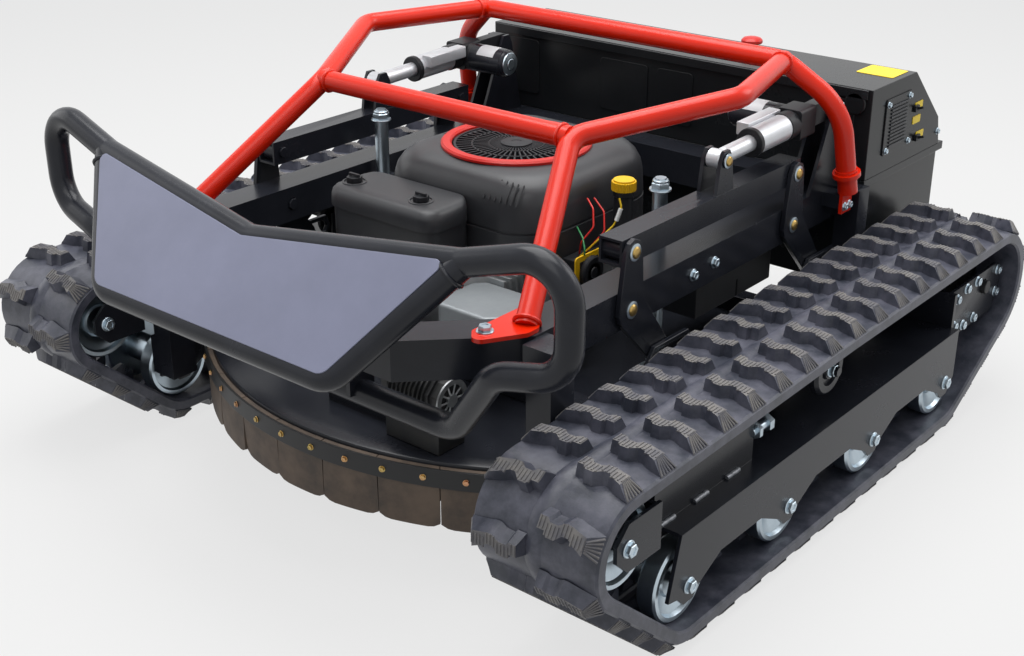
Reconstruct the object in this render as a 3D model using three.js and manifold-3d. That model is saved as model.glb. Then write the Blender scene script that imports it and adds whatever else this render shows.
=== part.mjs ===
// Remote control slope mower: a tracked carrier with a mowing deck and engine that rise and sink between
// its tracks. Millimetres, +Z up, front towards -Y, the ground at z = 0, the origin under the middle.
import * as THREE from 'three';
import { mergeVertices } from 'three/addons/utils/BufferGeometryUtils.js';
import Module from 'manifold-3d';

const wasm = await Module();
wasm.setup();

// Overall sizes
const overallLength = 1422;
const overallWidth = 1250;
const halfLength = overallLength / 2;
const seat = 0.3; // gap between pieces that rest on each other
const runFit = 0.4; // radial gap of a pin in its eye
const wheelGap = 1.2; // gap between the track's inner face and its wheels
const overrun = 2; // how far a cut runs past its face
const weld = 1; // how far joined stock sinks into its neighbour
const bendStepAngle = Math.PI / 5; // facets of a tube's bends
const stepSlack = 0.01; // share of a facet that an arc may be over before it gets one more

// Tools for solids
function solid(geometry) {
  geometry.deleteAttribute('normal');
  geometry.deleteAttribute('uv');
  const merged = mergeVertices(geometry);
  const corners = merged.index.array;
  const kept = [];
  for (let i = 0; i < corners.length; i += 3) {
    const [a, b, c] = [corners[i], corners[i + 1], corners[i + 2]];
    if (a !== b && b !== c && c !== a) kept.push(a, b, c);
  }
  return new wasm.Manifold(new wasm.Mesh({
    numProp: 3,
    vertProperties: new Float32Array(merged.attributes.position.array),
    triVerts: new Uint32Array(kept),
  }));
}

function join(...parts) {
  return parts.flat().reduce((sum, part) => sum.add(part));
}

function cut(body, ...tools) {
  return tools.flat().reduce((rest, tool) => rest.subtract(tool), body);
}

function geometryOf(body) {
  const mesh = body.getMesh();
  const geometry = new THREE.BufferGeometry();
  geometry.setAttribute('position', new THREE.BufferAttribute(new Float32Array(mesh.vertProperties), 3));
  geometry.setIndex(new THREE.BufferAttribute(new Uint32Array(mesh.triVerts), 1));
  geometry.computeVertexNormals();
  return geometry;
}

// An outline drawn in the plane square to an axis: [y, z] for x, [x, z] for y and [x, y] for z.
const planes = {
  x: new THREE.Matrix4().makeBasis(
    new THREE.Vector3(0, 1, 0), new THREE.Vector3(0, 0, 1), new THREE.Vector3(1, 0, 0)),
  y: new THREE.Matrix4().makeBasis(
    new THREE.Vector3(1, 0, 0), new THREE.Vector3(0, 0, 1), new THREE.Vector3(0, -1, 0)),
  z: new THREE.Matrix4(),
};

function prism(axis, outline, from, to, holes = []) {
  const shape = new THREE.Shape(outline.map(([u, v]) => new THREE.Vector2(u, v)));
  for (const hole of holes) shape.holes.push(new THREE.Path(hole.map(([u, v]) => new THREE.Vector2(u, v))));
  const geometry = new THREE.ExtrudeGeometry(shape, { depth: to - from, bevelEnabled: false });
  geometry.translate(0, 0, axis === 'y' ? -to : from);
  geometry.applyMatrix4(planes[axis]);
  return solid(geometry);
}

function block([x0, x1], [y0, y1], [z0, z1]) {
  const geometry = new THREE.BoxGeometry(x1 - x0, y1 - y0, z1 - z0);
  geometry.translate((x0 + x1) / 2, (y0 + y1) / 2, (z0 + z1) / 2);
  return solid(geometry);
}

function circle(u, v, radius, sides) {
  const points = [];
  for (let i = 0; i < sides; i += 1) {
    const angle = ((i + 1 / 2) / sides) * 2 * Math.PI;
    points.push([u + radius * Math.cos(angle), v + radius * Math.sin(angle)]);
  }
  return points;
}

function rod(axis, [u, v], radius, from, to, sides = 8) {
  return prism(axis, circle(u, v, radius, sides), from, to);
}

// A hole whose flats clear a pin of the given radius by runFit, however the pin is turned
function bore(axis, at, pinRadius, from, to, sides = 8) {
  return rod(axis, at, (pinRadius + runFit) / Math.cos(Math.PI / sides), from, to, sides);
}

// A span of x on the right, or its mirror image on the left
function sideSpan(side, from, to) {
  return side > 0 ? [from, to] : [-to, -from];
}

// A profile of [radius, place along the axis], turned about an axis through u, v
function turned(axis, [u, v], profile, sides) {
  const points = profile.map(([radius, along]) => new THREE.Vector2(radius, along));
  const geometry = new THREE.LatheGeometry(points, sides);
  geometry.rotateX(Math.PI / 2);
  geometry.translate(u, v, 0);
  if (axis === 'y') geometry.scale(1, 1, -1);
  if (axis === 'y') geometry.index.array.reverse();
  geometry.applyMatrix4(planes[axis]);
  return solid(geometry);
}

// A path through corners, each rounded by an arc; its stations are unevenly spaced
class BentLine extends THREE.Curve {
  constructor(corners, bend) {
    super();
    const at = corners.map((corner) => new THREE.Vector3(...corner));
    this.stations = [at[0]];
    for (let i = 1; i < at.length - 1; i += 1) {
      const back = at[i - 1].clone().sub(at[i]).normalize();
      const ahead = at[i + 1].clone().sub(at[i]).normalize();
      const half = back.angleTo(ahead) / 2;
      const middleWay = back.clone().add(ahead).normalize();
      const centre = at[i].clone().add(middleWay.multiplyScalar(bend / Math.sin(half)));
      const spoke = at[i].clone().add(back.multiplyScalar(bend / Math.tan(half))).sub(centre);
      const pole = back.clone().cross(spoke).normalize();
      const sweep = Math.PI - 2 * half;
      const arcSteps = Math.max(1, Math.round(sweep / bendStepAngle));
      for (let step = 0; step <= arcSteps; step += 1) {
        this.stations.push(centre.clone().add(spoke.clone().applyAxisAngle(pole, (sweep * step) / arcSteps)));
      }
    }
    this.stations.push(at[at.length - 1]);
  }

  get steps() {
    return this.stations.length - 1;
  }

  getPoint(t) {
    return this.stations[Math.round(t * this.steps)].clone();
  }

  getPointAt(t) {
    return this.getPoint(t);
  }

  getTangentAt(t) {
    const i = Math.round(t * this.steps);
    const before = this.stations[Math.max(i - 1, 0)];
    const after = this.stations[Math.min(i + 1, this.steps)];
    const here = this.stations[i];
    const inward = i > 0 ? here.clone().sub(before).normalize() : new THREE.Vector3();
    const onward = i < this.steps ? after.clone().sub(here).normalize() : new THREE.Vector3();
    return inward.add(onward).normalize();
  }
}

function tube(corners, radius, bend, sides = 8) {
  const path = new BentLine(corners, bend);
  const section = new THREE.Shape(circle(0, 0, radius, sides).map(([u, v]) => new THREE.Vector2(u, v)));
  return solid(new THREE.ExtrudeGeometry(section,
    { extrudePath: path, steps: path.steps, bevelEnabled: false }));
}

// The taut loop round circles listed anticlockwise: for each circle, the arc that the loop touches
function wrap(circles) {
  const normals = circles.map((from, i) => {
    const to = circles[(i + 1) % circles.length];
    const [du, dv] = [to.u - from.u, to.v - from.v];
    return Math.atan2(dv, du) - Math.PI / 2 + Math.asin((from.radius - to.radius) / Math.hypot(du, dv));
  });
  return circles.map((here, i) => {
    const start = normals[(i + circles.length - 1) % circles.length];
    const turn = (normals[i] - start + 4 * Math.PI) % (2 * Math.PI);
    return { ...here, start, turn };
  });
}

function wrapOutline(arcs, offset, stepAngle) {
  const points = [];
  for (const { u, v, radius, start, turn } of arcs) {
    const steps = Math.max(1, Math.ceil(turn / stepAngle - stepSlack));
    for (let i = 0; i <= steps; i += 1) {
      const angle = start + (turn * i) / steps;
      points.push([u + (radius + offset) * Math.cos(angle), v + (radius + offset) * Math.sin(angle)]);
    }
  }
  return points;
}

// A flat strap with a round end about each of two centres
function strap([u0, v0], radius0, [u1, v1], radius1) {
  const ends = [{ u: u0, v: v0, radius: radius0 }, { u: u1, v: v1, radius: radius1 }];
  return wrapOutline(wrap(ends), 0, Math.PI / 4);
}

function mirrored(geometry) {
  const copy = geometry.clone();
  copy.scale(-1, 1, 1);
  copy.index.array.reverse();
  copy.computeVertexNormals();
  return copy;
}

// Finishes
function finish(color, roughness, metalness) {
  return new THREE.MeshStandardMaterial({ color, roughness, metalness });
}

const blackPaint = finish(0x2b2c2f, 0.45, 0.2);
const greyPaint = finish(0x4a4c57, 0.4, 0.3);
const redPaint = finish(0xe5361c, 0.35, 0.1);
const rubber = finish(0x37383c, 0.8, 0);
const flapRubber = finish(0x4f4640, 0.85, 0);
const zinc = finish(0xb9c2c6, 0.35, 0.9);
const castIron = finish(0x3a3b3c, 0.6, 0.6);
const aluminium = finish(0xc9ccd0, 0.4, 0.85);
const blackPlastic = finish(0x2f3033, 0.55, 0);
const yellowPlastic = finish(0xf0c419, 0.5, 0);
const redPlastic = finish(0xd8261a, 0.4, 0);

const mower = new THREE.Group();

function place(name, body, material) {
  const mesh = new THREE.Mesh(body.isBufferGeometry ? body : geometryOf(body), material);
  mesh.name = name;
  mower.add(mesh);
}

function placePair(name, body, material) {
  const geometry = geometryOf(body);
  place(`${name}_right`, geometry, material);
  place(`${name}_left`, mirrored(geometry), material);
}

// Rubber track: a carcass with a row of lugs on each half, guide horns and a groove for the sprocket
const beltWidth = 196;
const carcassThickness = 22;
const lugHeight = 18;
const beltLinks = 39;
const beltX = (overallWidth - beltWidth) / 2;
const trackInner = beltX - beltWidth / 2;
const rollerRadius = 61;
const rollerCount = 4;
const idlerSetback = 153;
const idlerY = -halfLength + idlerSetback;
const sprocketSetback = 173;
const sprocketY = halfLength - sprocketSetback;
const rollerFirstGap = 140;
const rollerFirstY = idlerY + rollerFirstGap;
const rollerLastGap = 170;
const rollerSpacing = (sprocketY - rollerLastGap - rollerFirstY) / (rollerCount - 1);
const rollerLastY = rollerFirstY + rollerSpacing * (rollerCount - 1);
const rollerZ = lugHeight + carcassThickness + wheelGap + rollerRadius;
const idlerRadius = 61;
const idlerZ = 227;
const carrierRadius = 42;
const carrierY = -7;
const carrierZ = 258;
const sprocketZ = 220;
const sprocketWrapRadius = 83;
const sprocketTeeth = 8;
const neutralDepth = 8.7;

const beltArcs = wrap([
  { u: rollerFirstY, v: rollerZ, radius: rollerRadius + wheelGap },
  { u: rollerLastY, v: rollerZ, radius: rollerRadius + wheelGap },
  { u: sprocketY, v: sprocketZ, radius: sprocketWrapRadius },
  { u: carrierY, v: carrierZ, radius: carrierRadius + wheelGap },
  { u: idlerY, v: idlerZ, radius: idlerRadius + wheelGap },
]);

// Runs and arcs of the loop in order, with their lengths on the neutral line
const beltRuns = beltArcs.flatMap((arc, i) => {
  const next = beltArcs[(i + 1) % beltArcs.length];
  const end = arc.start + arc.turn;
  const spread = Math.hypot(next.u - arc.u, next.v - arc.v);
  const lead = arc.radius - next.radius;
  return [
    { arc, from: arc.start, turn: arc.turn, length: arc.turn * (arc.radius + neutralDepth) },
    { arc, from: end, turn: 0, length: Math.sqrt(spread * spread - lead * lead) },
  ];
});
const beltLength = beltRuns.reduce((sum, run) => sum + run.length, 0);
const linkPitch = beltLength / beltLinks;

// Where a point lies that is a distance along the loop and a height above the carcass's inner face
function beltPlace(distance, height) {
  let rest = ((distance % beltLength) + beltLength) % beltLength;
  for (const { arc, from, turn, length } of beltRuns) {
    if (rest <= length) {
      const normal = from + (turn * rest) / length;
      const ahead = turn === 0 ? rest : 0;
      const reach = arc.radius + height;
      return {
        y: arc.u + reach * Math.cos(normal) - ahead * Math.sin(normal),
        z: arc.v + reach * Math.sin(normal) + ahead * Math.cos(normal),
        normal,
      };
    }
    rest -= length;
  }
  return beltPlace(0, height);
}

const centreStripHalf = 9;
// Half widths of a lug's foot and tip and of a horn's foot, as shares of the link pitch
const lugFootShare = 0.27;
const lugTipShare = 0.17;
const hornFootShare = 0.2;
const hornInner = 22;
const hornOuter = 34;
const hornHeight = 17;
const grooveHalf = 17;
const grooveDepth = 14;
const beltStepAngle = Math.PI / 9;

// The loop with a tooth on every link, whose corners are [share of the pitch, height] pairs
function toothedLoop(phase, corners) {
  const points = [];
  for (let link = 0; link < beltLinks; link += 1) {
    for (const [along, height] of corners) {
      const { y, z } = beltPlace((link + phase + along) * linkPitch, height);
      points.push([y, z]);
    }
  }
  return points;
}

function trackBelt() {
  const inner = wrapOutline(beltArcs, 0, beltStepAngle);
  const strip = (outline, from, to, hole) => prism('x', outline, beltX + from, beltX + to, [hole]);
  const lugTip = carcassThickness + lugHeight;
  const lugs = (phase) => toothedLoop(phase, [[-lugFootShare, carcassThickness], [-lugTipShare, lugTip],
    [lugTipShare, lugTip], [lugFootShare, carcassThickness]]);
  const horns = toothedLoop(0, [[-hornFootShare, 0], [0, -hornHeight], [hornFootShare, 0]]);
  const middle = wrapOutline(beltArcs, carcassThickness / 2, beltStepAngle);
  const belt = join(
    strip(lugs(0), centreStripHalf, beltWidth / 2, inner),
    strip(lugs(1 / 2), -beltWidth / 2, -centreStripHalf, inner),
    strip(wrapOutline(beltArcs, carcassThickness, beltStepAngle), -centreStripHalf, centreStripHalf, inner),
    strip(middle, hornInner, hornOuter, horns),
    strip(middle, -hornOuter, -hornInner, horns),
  );
  return cut(belt, strip(wrapOutline(beltArcs, grooveDepth, beltStepAngle), -grooveHalf, grooveHalf,
    wrapOutline(beltArcs, -overrun, beltStepAngle)));
}

placePair('track_belt', trackBelt(), rubber);

// Track wheels, turned, all on axles that lie along X
const axleRadius = 8;
const rimOuter = 74;
const rimInner = 44;
const dishFace = 60;
const wheelTubeRadius = 25;
const carrierTubeRadius = 13;
const wheelSides = 12;

function dishedWheel(radius, tubeRadius) {
  const boreRadius = axleRadius + runFit;
  const halfProfile = [
    [tubeRadius, rimInner], [radius, rimInner], [radius, rimOuter], [boreRadius, dishFace],
  ];
  const other = halfProfile.map(([r, t]) => [r, -t]).reverse();
  return [...other, ...halfProfile, other[0]];
}

function wheelAt(y, z, radius, tubeRadius) {
  const profile = dishedWheel(radius, tubeRadius).map(([r, t]) => [r, t + beltX]);
  return turned('x', [y, z], profile, wheelSides);
}

function carrierWheel() {
  const boreRadius = axleRadius + runFit;
  const half = [[carrierTubeRadius, rimInner], [carrierRadius, rimInner], [carrierRadius, dishFace],
    [boreRadius, dishFace]];
  const profile = [...half.map(([r, t]) => [r, -t]).reverse(), ...half];
  return turned('x', [carrierY, carrierZ], [...profile, profile[0]].map(([r, t]) => [r, t + beltX]),
    wheelSides);
}

for (let i = 0; i < rollerCount; i += 1) {
  placePair(`track_roller_${i + 1}`, wheelAt(rollerFirstY + i * rollerSpacing, rollerZ, rollerRadius,
    wheelTubeRadius), zinc);
}
placePair('idler_wheel', wheelAt(idlerY, idlerZ, idlerRadius, wheelTubeRadius), zinc);
placePair('carrier_roller', carrierWheel(), blackPaint);

// Drive sprocket: toothed ring on a hub, keyed to its own shaft
const sprocketHalf = 13;
const sprocketTipGap = 2.5;
const sprocketTip = sprocketWrapRadius + grooveDepth - sprocketTipGap;
const sprocketRootShare = 0.72;
const toothTipShare = 0.16;
const toothBaseShare = 0.44;
const sprocketHubRadius = 38;
const sprocketHubHalf = 20;
const shaftRadius = 12.5;
const shaftInner = 60;
const shaftOuter = 76;

function sprocketOutline() {
  const points = [];
  for (let i = 0; i < sprocketTeeth; i += 1) {
    const pitchAngle = (2 * Math.PI) / sprocketTeeth;
    const corners = [[-toothBaseShare, sprocketRootShare], [-toothTipShare, 1], [toothTipShare, 1],
      [toothBaseShare, sprocketRootShare]];
    for (const [turn, reach] of corners) {
      const angle = (i + turn) * pitchAngle;
      points.push([sprocketY + sprocketTip * reach * Math.cos(angle),
        sprocketZ + sprocketTip * reach * Math.sin(angle)]);
    }
  }
  return points;
}

const sprocketAxis = [sprocketY, sprocketZ];
placePair('drive_sprocket', join(
  prism('x', sprocketOutline(), beltX - sprocketHalf, beltX + sprocketHalf),
  rod('x', sprocketAxis, sprocketHubRadius, beltX - sprocketHubHalf, beltX + sprocketHubHalf),
  rod('x', sprocketAxis, shaftRadius, beltX - shaftInner, beltX + shaftOuter),
), castIron);

// Track frame: an inverted channel with a lobe round each axle, the tensioner box, the idler's slide bore,
// the carrier bracket and the two motor plates
const channelHalf = 88;
const plateThickness = 6;
const shelfTop = 190;
const channelTopGap = 117;
const channelFrontTop = idlerY + channelTopGap;
const channelBottomGap = 92;
const channelFrontBottom = idlerY + channelBottomGap;
const channelFrontBottomZ = 96;
const lobeRadius = 28;
const archTop = 118;
const archHalfShare = 0.3;
const motorPlateX = 62;
const motorPlateReach = 133;
const motorPlateFront = sprocketY - motorPlateReach;
const motorPlateTail = 72;
const motorPlateRear = sprocketY + motorPlateTail;
const motorPlateChamfer = 24;
const motorPlateTop = 250;
const motorPlateBottom = 160;
const flangeHalf = 76;
const flangeBottom = 166;
const tensionerHalf = 52;
const tensionerTop = 258;
const tensionerGap = 103;
const tensionerFront = idlerY + tensionerGap;
const tensionerReach = 348;
const tensionerRear = idlerY + tensionerReach;
const tensionerWall = 6;
const channelRear = rollerLastY + lobeRadius + plateThickness;
const carrierPlateX = 66;
const carrierPlateHalf = 26;

function channelOutline() {
  const points = [[channelRear, shelfTop], [channelFrontTop, shelfTop],
    [channelFrontBottom, channelFrontBottomZ]];
  for (let i = 0; i < rollerCount; i += 1) {
    const y = rollerFirstY + i * rollerSpacing;
    const lobeSteps = 3;
    for (let step = 0; step <= lobeSteps; step += 1) {
      const angle = Math.PI + (Math.PI * (step + 1 / 2)) / (lobeSteps + 1);
      points.push([y + lobeRadius * Math.cos(angle), rollerZ + lobeRadius * Math.sin(angle)]);
    }
    if (i < rollerCount - 1) {
      points.push([y + rollerSpacing * archHalfShare, archTop],
        [y + rollerSpacing * (1 - archHalfShare), archTop]);
    }
  }
  points.push([channelRear, rollerZ]);
  return points;
}

function trackFrame() {
  const [left, right] = [beltX - channelHalf, beltX + channelHalf];
  const side = channelOutline();
  const parts = [
    prism('x', side, left, left + plateThickness),
    prism('x', side, right - plateThickness, right),
    block([left + weld, right - weld], [channelFrontTop + weld, channelRear - weld],
      [shelfTop - plateThickness, shelfTop]),
  ];
  for (let i = 0; i < rollerCount; i += 1) {
    const centre = [rollerFirstY + i * rollerSpacing, rollerZ];
    parts.push(rod('x', centre, axleRadius, left, right));
  }
  const boxZ = [shelfTop - weld, tensionerTop];
  const box = block([beltX - tensionerHalf, beltX + tensionerHalf], [tensionerFront, tensionerRear], boxZ);
  const slideBore = rod('y', [beltX, (shelfTop + tensionerTop) / 2], forkRodRadius + runFit,
    tensionerFront - overrun,
    tensionerRear - tensionerWall, 8);
  parts.push(cut(box, slideBore));
  parts.push(block([beltX - carrierPlateX - plateThickness, beltX - carrierPlateX],
    [carrierY - carrierPlateHalf, carrierY + carrierPlateHalf],
      [shelfTop - weld, carrierZ + axleRadius + plateThickness]));
  parts.push(rod('x', [carrierY, carrierZ], axleRadius, beltX - carrierPlateX - weld, beltX + rimOuter));
  parts.push(block([beltX - flangeHalf, beltX + flangeHalf],
    [channelRear - plateThickness, motorPlateFront + weld],
    [flangeBottom, motorPlateTop]));
  const motorSide = [[motorPlateFront, motorPlateBottom],
    [motorPlateRear - motorPlateChamfer, motorPlateBottom],
    [motorPlateRear, sprocketZ - shaftRadius], [motorPlateRear, sprocketZ + shaftRadius],
    [motorPlateRear - motorPlateChamfer, motorPlateTop], [motorPlateFront, motorPlateTop]];
  const outerPlate = [beltX + motorPlateX, beltX + motorPlateX + plateThickness];
  const innerPlate = [beltX - motorPlateX - plateThickness, beltX - motorPlateX];
  parts.push(cut(prism('x', motorSide, ...outerPlate), bore('x', sprocketAxis, shaftRadius, ...outerPlate)));
  parts.push(cut(prism('x', motorSide, ...innerPlate),
    bore('x', sprocketAxis, motorPilotRadius, ...innerPlate)));
  return join(parts);
}

// Idler fork: two cheeks and a rod that slides in the tensioner box
const forkCheekX = 79;
const forkCheekThickness = 6;
const forkRodRadius = 16;
const forkTop = 262;
const forkBottom = 192;
const forkReach = 72;
const forkRear = idlerY + forkReach;
const forkBridge = 8;
const forkBridgeFront = forkRear - forkBridge;
const forkNose = 24;
const forkRodReach = 258;
const forkRodRear = idlerY + forkRodReach;

// Drive motor: round housing with its flange against the inner motor plate and a pilot through it
const motorBodyRadius = 42;
const motorPilotRadius = 25;
const motorInner = 108;
const motorOuter = 36;
const motorFlangeHalf = 48;
const motorFlangeThickness = 8;

placePair('track_frame', trackFrame(), blackPaint);

function idlerFork() {
  const parts = [];
  for (const side of [-1, 1]) {
    const inner = beltX + side * forkCheekX;
    const outline = [[idlerY - forkNose, idlerZ - forkNose / 2], [idlerY, forkBottom], [forkRear, forkBottom],
      [forkRear, forkTop], [idlerY, forkTop], [idlerY - forkNose, idlerZ + forkNose / 2]];
    const [from, to] = side > 0 ? [inner, inner + forkCheekThickness] : [inner - forkCheekThickness, inner];
    parts.push(prism('x', outline, from, to));
  }
  const reach = forkCheekX + weld;
  parts.push(block([beltX - reach, beltX + reach], [forkBridgeFront, forkRear],
    [shelfTop + overrun + weld, tensionerTop]));
  parts.push(rod('x', [idlerY, idlerZ], axleRadius, beltX - reach, beltX + reach));
  parts.push(rod('y', [beltX, (shelfTop + tensionerTop) / 2], forkRodRadius, forkRear - weld, forkRodRear,
    8));
  return join(parts);
}

placePair('idler_fork', idlerFork(), blackPaint);

function driveMotor() {
  const back = beltX - motorPlateX - plateThickness - seat;
  const flange = block([back - motorFlangeThickness, back],
    [sprocketY - motorFlangeHalf, sprocketY + motorFlangeHalf],
    [sprocketZ - motorFlangeHalf, sprocketZ + motorFlangeHalf]);
  const body = join(
    rod('x', sprocketAxis, motorBodyRadius, beltX - motorInner, back - weld),
    rod('x', sprocketAxis, motorPilotRadius, beltX - motorInner, beltX - motorOuter),
    flange,
  );
  return cut(body, bore('x', sprocketAxis, shaftRadius, beltX - shaftInner - seat, beltX));
}

placePair('drive_motor', driveMotor(), castIron);

// Chassis frame: two box beams mitred to a front cross tube, a rear cross channel, four legs down to the
// tracks, guide bushes for the deck's posts and the actuators' towers
const beamTrackGap = 79;
const beamX = trackInner - beamTrackGap;
const beamSize = 60;
const beamHalf = beamSize / 2;
const beamWall = 4;
const beamBottom = 350;
const beamTop = beamBottom + beamSize;
const beamRearSetback = 313;
const beamRear = halfLength - beamRearSetback;
const mitreSetback = 269;
const mitreY = -halfLength + mitreSetback;
const mitreRun = 118;
const frontCrossY = mitreY - mitreRun;
const frontCornerX = beamX - mitreRun;
const crossChannelDepth = 60;
const legBeamGap = 5;
const legInner = beamX + beamHalf + legBeamGap;
const legTrackGap = 2;
const legOuter = trackInner - legTrackGap;
const frontLegSetback = 38;
const frontLegWidth = 50;
const rearLegWidth = 37;
const frontLegY = [mitreY - frontLegSetback, mitreY - frontLegSetback + frontLegWidth];
const rearLegY = [beamRear - weld - rearLegWidth, beamRear - weld];
const legFootBottom = 112;
const legFootTop = 180;
const postBeamGap = 53;
const postX = beamX - postBeamGap;
const postRadius = 12;
const bushWall = 6;
const bushHalf = 9;
const cheekThickness = 6;
const towerInset = 10;
const towerCheeks = [[beamX - towerInset, beamX - towerInset + cheekThickness],
  [beamX + beamHalf - cheekThickness, beamX + beamHalf]];
const actuatorPivotSetback = 53;
const actuatorPivotY = beamRear - actuatorPivotSetback;
const actuatorPivotZ = 546;
const actuatorPinRadius = 7;
const towerFootSetback = 8;
const towerFootLength = 120;
const towerFootRear = beamRear - towerFootSetback;
const towerFootFront = towerFootRear - towerFootLength;
const towerLobe = 16;
const rollFootZ = 382;
const rollLugSetback = 50;
const rollLugWidth = 30;
const rollLug = [beamRear - rollLugSetback - rollLugWidth, beamRear - rollLugSetback];
const rollLugReach = 64;
const rollLugOuter = beamX + rollLugReach - seat;
const frontCrankGap = 195;
const rearCrankGap = 190;
const crankY = [mitreY + frontCrankGap, beamRear - rearCrankGap];
const linkMiddleY = (crankY[0] + crankY[1]) / 2;
const postSetback = 30.5;
const postY = linkMiddleY - postSetback;
const crankPivotZ = 380;
const crankPinRadius = 10;

// The outline in plan of the beams' outer or inner faces, offset from their centre line
function chassisPlan(offset, rear) {
  const kink = offset * Math.tan(Math.PI / 8);
  const right = [[beamX + offset, rear], [beamX + offset, mitreY - kink],
    [frontCornerX + kink, frontCrossY - offset]];
  return [...right, ...right.map(([x, y]) => [-x, y]).reverse()];
}

function chassisTube(half, z0, z1, rear) {
  const outer = chassisPlan(half, rear);
  const inner = chassisPlan(-half, rear + overrun);
  return cut(prism('z', outer, z0, z1), prism('z', inner, z0 - overrun, z1 + overrun));
}

function chassisFrame() {
  const hollow = beamHalf - beamWall;
  let frame = cut(chassisTube(beamHalf, beamBottom, beamTop, beamRear),
    chassisTube(hollow, beamBottom + beamWall, beamTop - beamWall, beamRear + overrun));
  const reach = beamX - beamHalf + weld;
  const channel = cut(
    block([-reach, reach], [beamRear - crossChannelDepth, beamRear], [beamBottom, beamTop]),
    block([-reach + beamWall, reach - beamWall],
      [beamRear - crossChannelDepth + beamWall, beamRear - beamWall],
      [beamBottom - overrun, beamTop - beamWall]),
  );
  frame = join(frame, channel);
  for (const side of [-1, 1]) {
    for (const legY of [frontLegY, rearLegY]) {
      frame = join(frame,
        block(sideSpan(side, legInner, legOuter), legY, [legFootBottom, beamTop - beamWall]),
        block(sideSpan(side, beamX + beamHalf - weld, legInner + weld), legY,
          [beamBottom + beamWall, beamTop - beamWall]),
        block(sideSpan(side, legOuter - weld, beltX - channelHalf - seat), legY,
          [legFootBottom, legFootTop]));
    }
    const bush = block(sideSpan(side, postX - postRadius - bushWall, beamX - beamHalf + weld),
      [postY - postRadius - bushWall, postY + postRadius + bushWall],
        [crankPivotZ - bushHalf, crankPivotZ + bushHalf]);
    frame = join(frame, cut(bush, bore('z', [side * postX, postY], postRadius, beamBottom, beamTop)));
    const cheek = [[towerFootFront, beamTop - weld], [towerFootRear, beamTop - weld],
      [actuatorPivotY + towerLobe, actuatorPivotZ],
        [actuatorPivotY + towerLobe / 2, actuatorPivotZ + towerLobe],
      [actuatorPivotY - towerLobe / 2, actuatorPivotZ + towerLobe],
        [actuatorPivotY - towerLobe, actuatorPivotZ]];
    for (const span of towerCheeks) frame = join(frame, prism('x', cheek, ...sideSpan(side, ...span)));
    frame = join(frame,
      rod('x', [actuatorPivotY, actuatorPivotZ], actuatorPinRadius,
        ...sideSpan(side, towerCheeks[0][0], towerCheeks[1][1])),
      block(sideSpan(side, beamX + beamHalf - weld, rollLugOuter), rollLug, [rollFootZ, beamTop - beamWall]));
    const through = sideSpan(side, beamX - beamHalf - overrun, beamX + beamHalf + overrun);
    frame = cut(frame, crankY.map((y) => bore('x', [y, crankPivotZ], crankPinRadius, ...through)));
  }
  return frame;
}

place('chassis_frame', chassisFrame(), blackPaint);

// Roll bar: red tube from the front feet over the engine to the rear legs, with two cross tubes
const rollRadius = 16.5;
const rollBend = 40;
const footPlate = 6;
// Steps along x, y and z from the middle of a beam's top, at the mitre, the links' middle and the rear end
const rollFrontSteps = [[4, 0, 2], [-96, 221, 192]];
const rollMiddleSteps = [[40, 33.5, 225]];
const rollRearSteps = [[-32, -136, 222], [60, -98, 150], [70, -68, 2]];
const rollPlaces = (y, steps) => steps.map(([dx, dy, dz]) => [beamX + dx, y + dy, beamTop + dz]);
const [rollFoot, rollJunction] = rollPlaces(mitreY, rollFrontSteps);
const [rollMiddle] = rollPlaces(linkMiddleY, rollMiddleSteps);
const [rollHoopCorner, rollShoulder, rollRearFoot] = rollPlaces(beamRear, rollRearSteps);
const rollTabThickness = 6;
const footSpanX = 62;
const footSpanY = 90;
// Outline of a front foot plate, as shares of its spans from the beam's inner face and the mitre
const footShares = [[-0.12, 0.5], [0.4, 0.5], [0.9, 0], [0.9, -0.25], [0.25, -1], [-0.12, -0.7]];

function rollBar() {
  const mirror = (side) => ([x, y, z]) => [side * x, y, z];
  const rear = [rollRearFoot, rollShoulder, rollHoopCorner];
  const hoop = [...rear, ...rear.map(mirror(-1)).reverse()];
  const baseZ = beamTop + seat;
  const parts = [
    tube(hoop, rollRadius, rollBend),
    rod('x', rollJunction.slice(1), rollRadius, -rollJunction[0], rollJunction[0]),
  ];
  for (const side of [-1, 1]) {
    const path = [rollFoot, rollJunction, rollMiddle, rollHoopCorner].map(mirror(side));
    parts.push(tube(path, rollRadius, rollBend));
    const foot = footShares.map(([across, along]) => [
      side * (beamX - beamHalf + across * footSpanX), mitreY + along * footSpanY]);
    parts.push(prism('z', side > 0 ? foot : foot.reverse(), baseZ, baseZ + footPlate));
    const tab = sideSpan(side, rollLugOuter + seat, rollLugOuter + seat + rollTabThickness);
    parts.push(block(tab, [rollRearFoot[1] - rollRadius, rollRearFoot[1] + rollRadius],
      [rollFootZ - footPlate, rollRearFoot[2] + rollRadius]));
  }
  const below = block([-overallWidth, overallWidth], [mitreY - footSpanY, mitreY + footSpanY], [0, baseZ]);
  return cut(join(parts), below);
}

place('roll_bar', rollBar(), redPaint);

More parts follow.
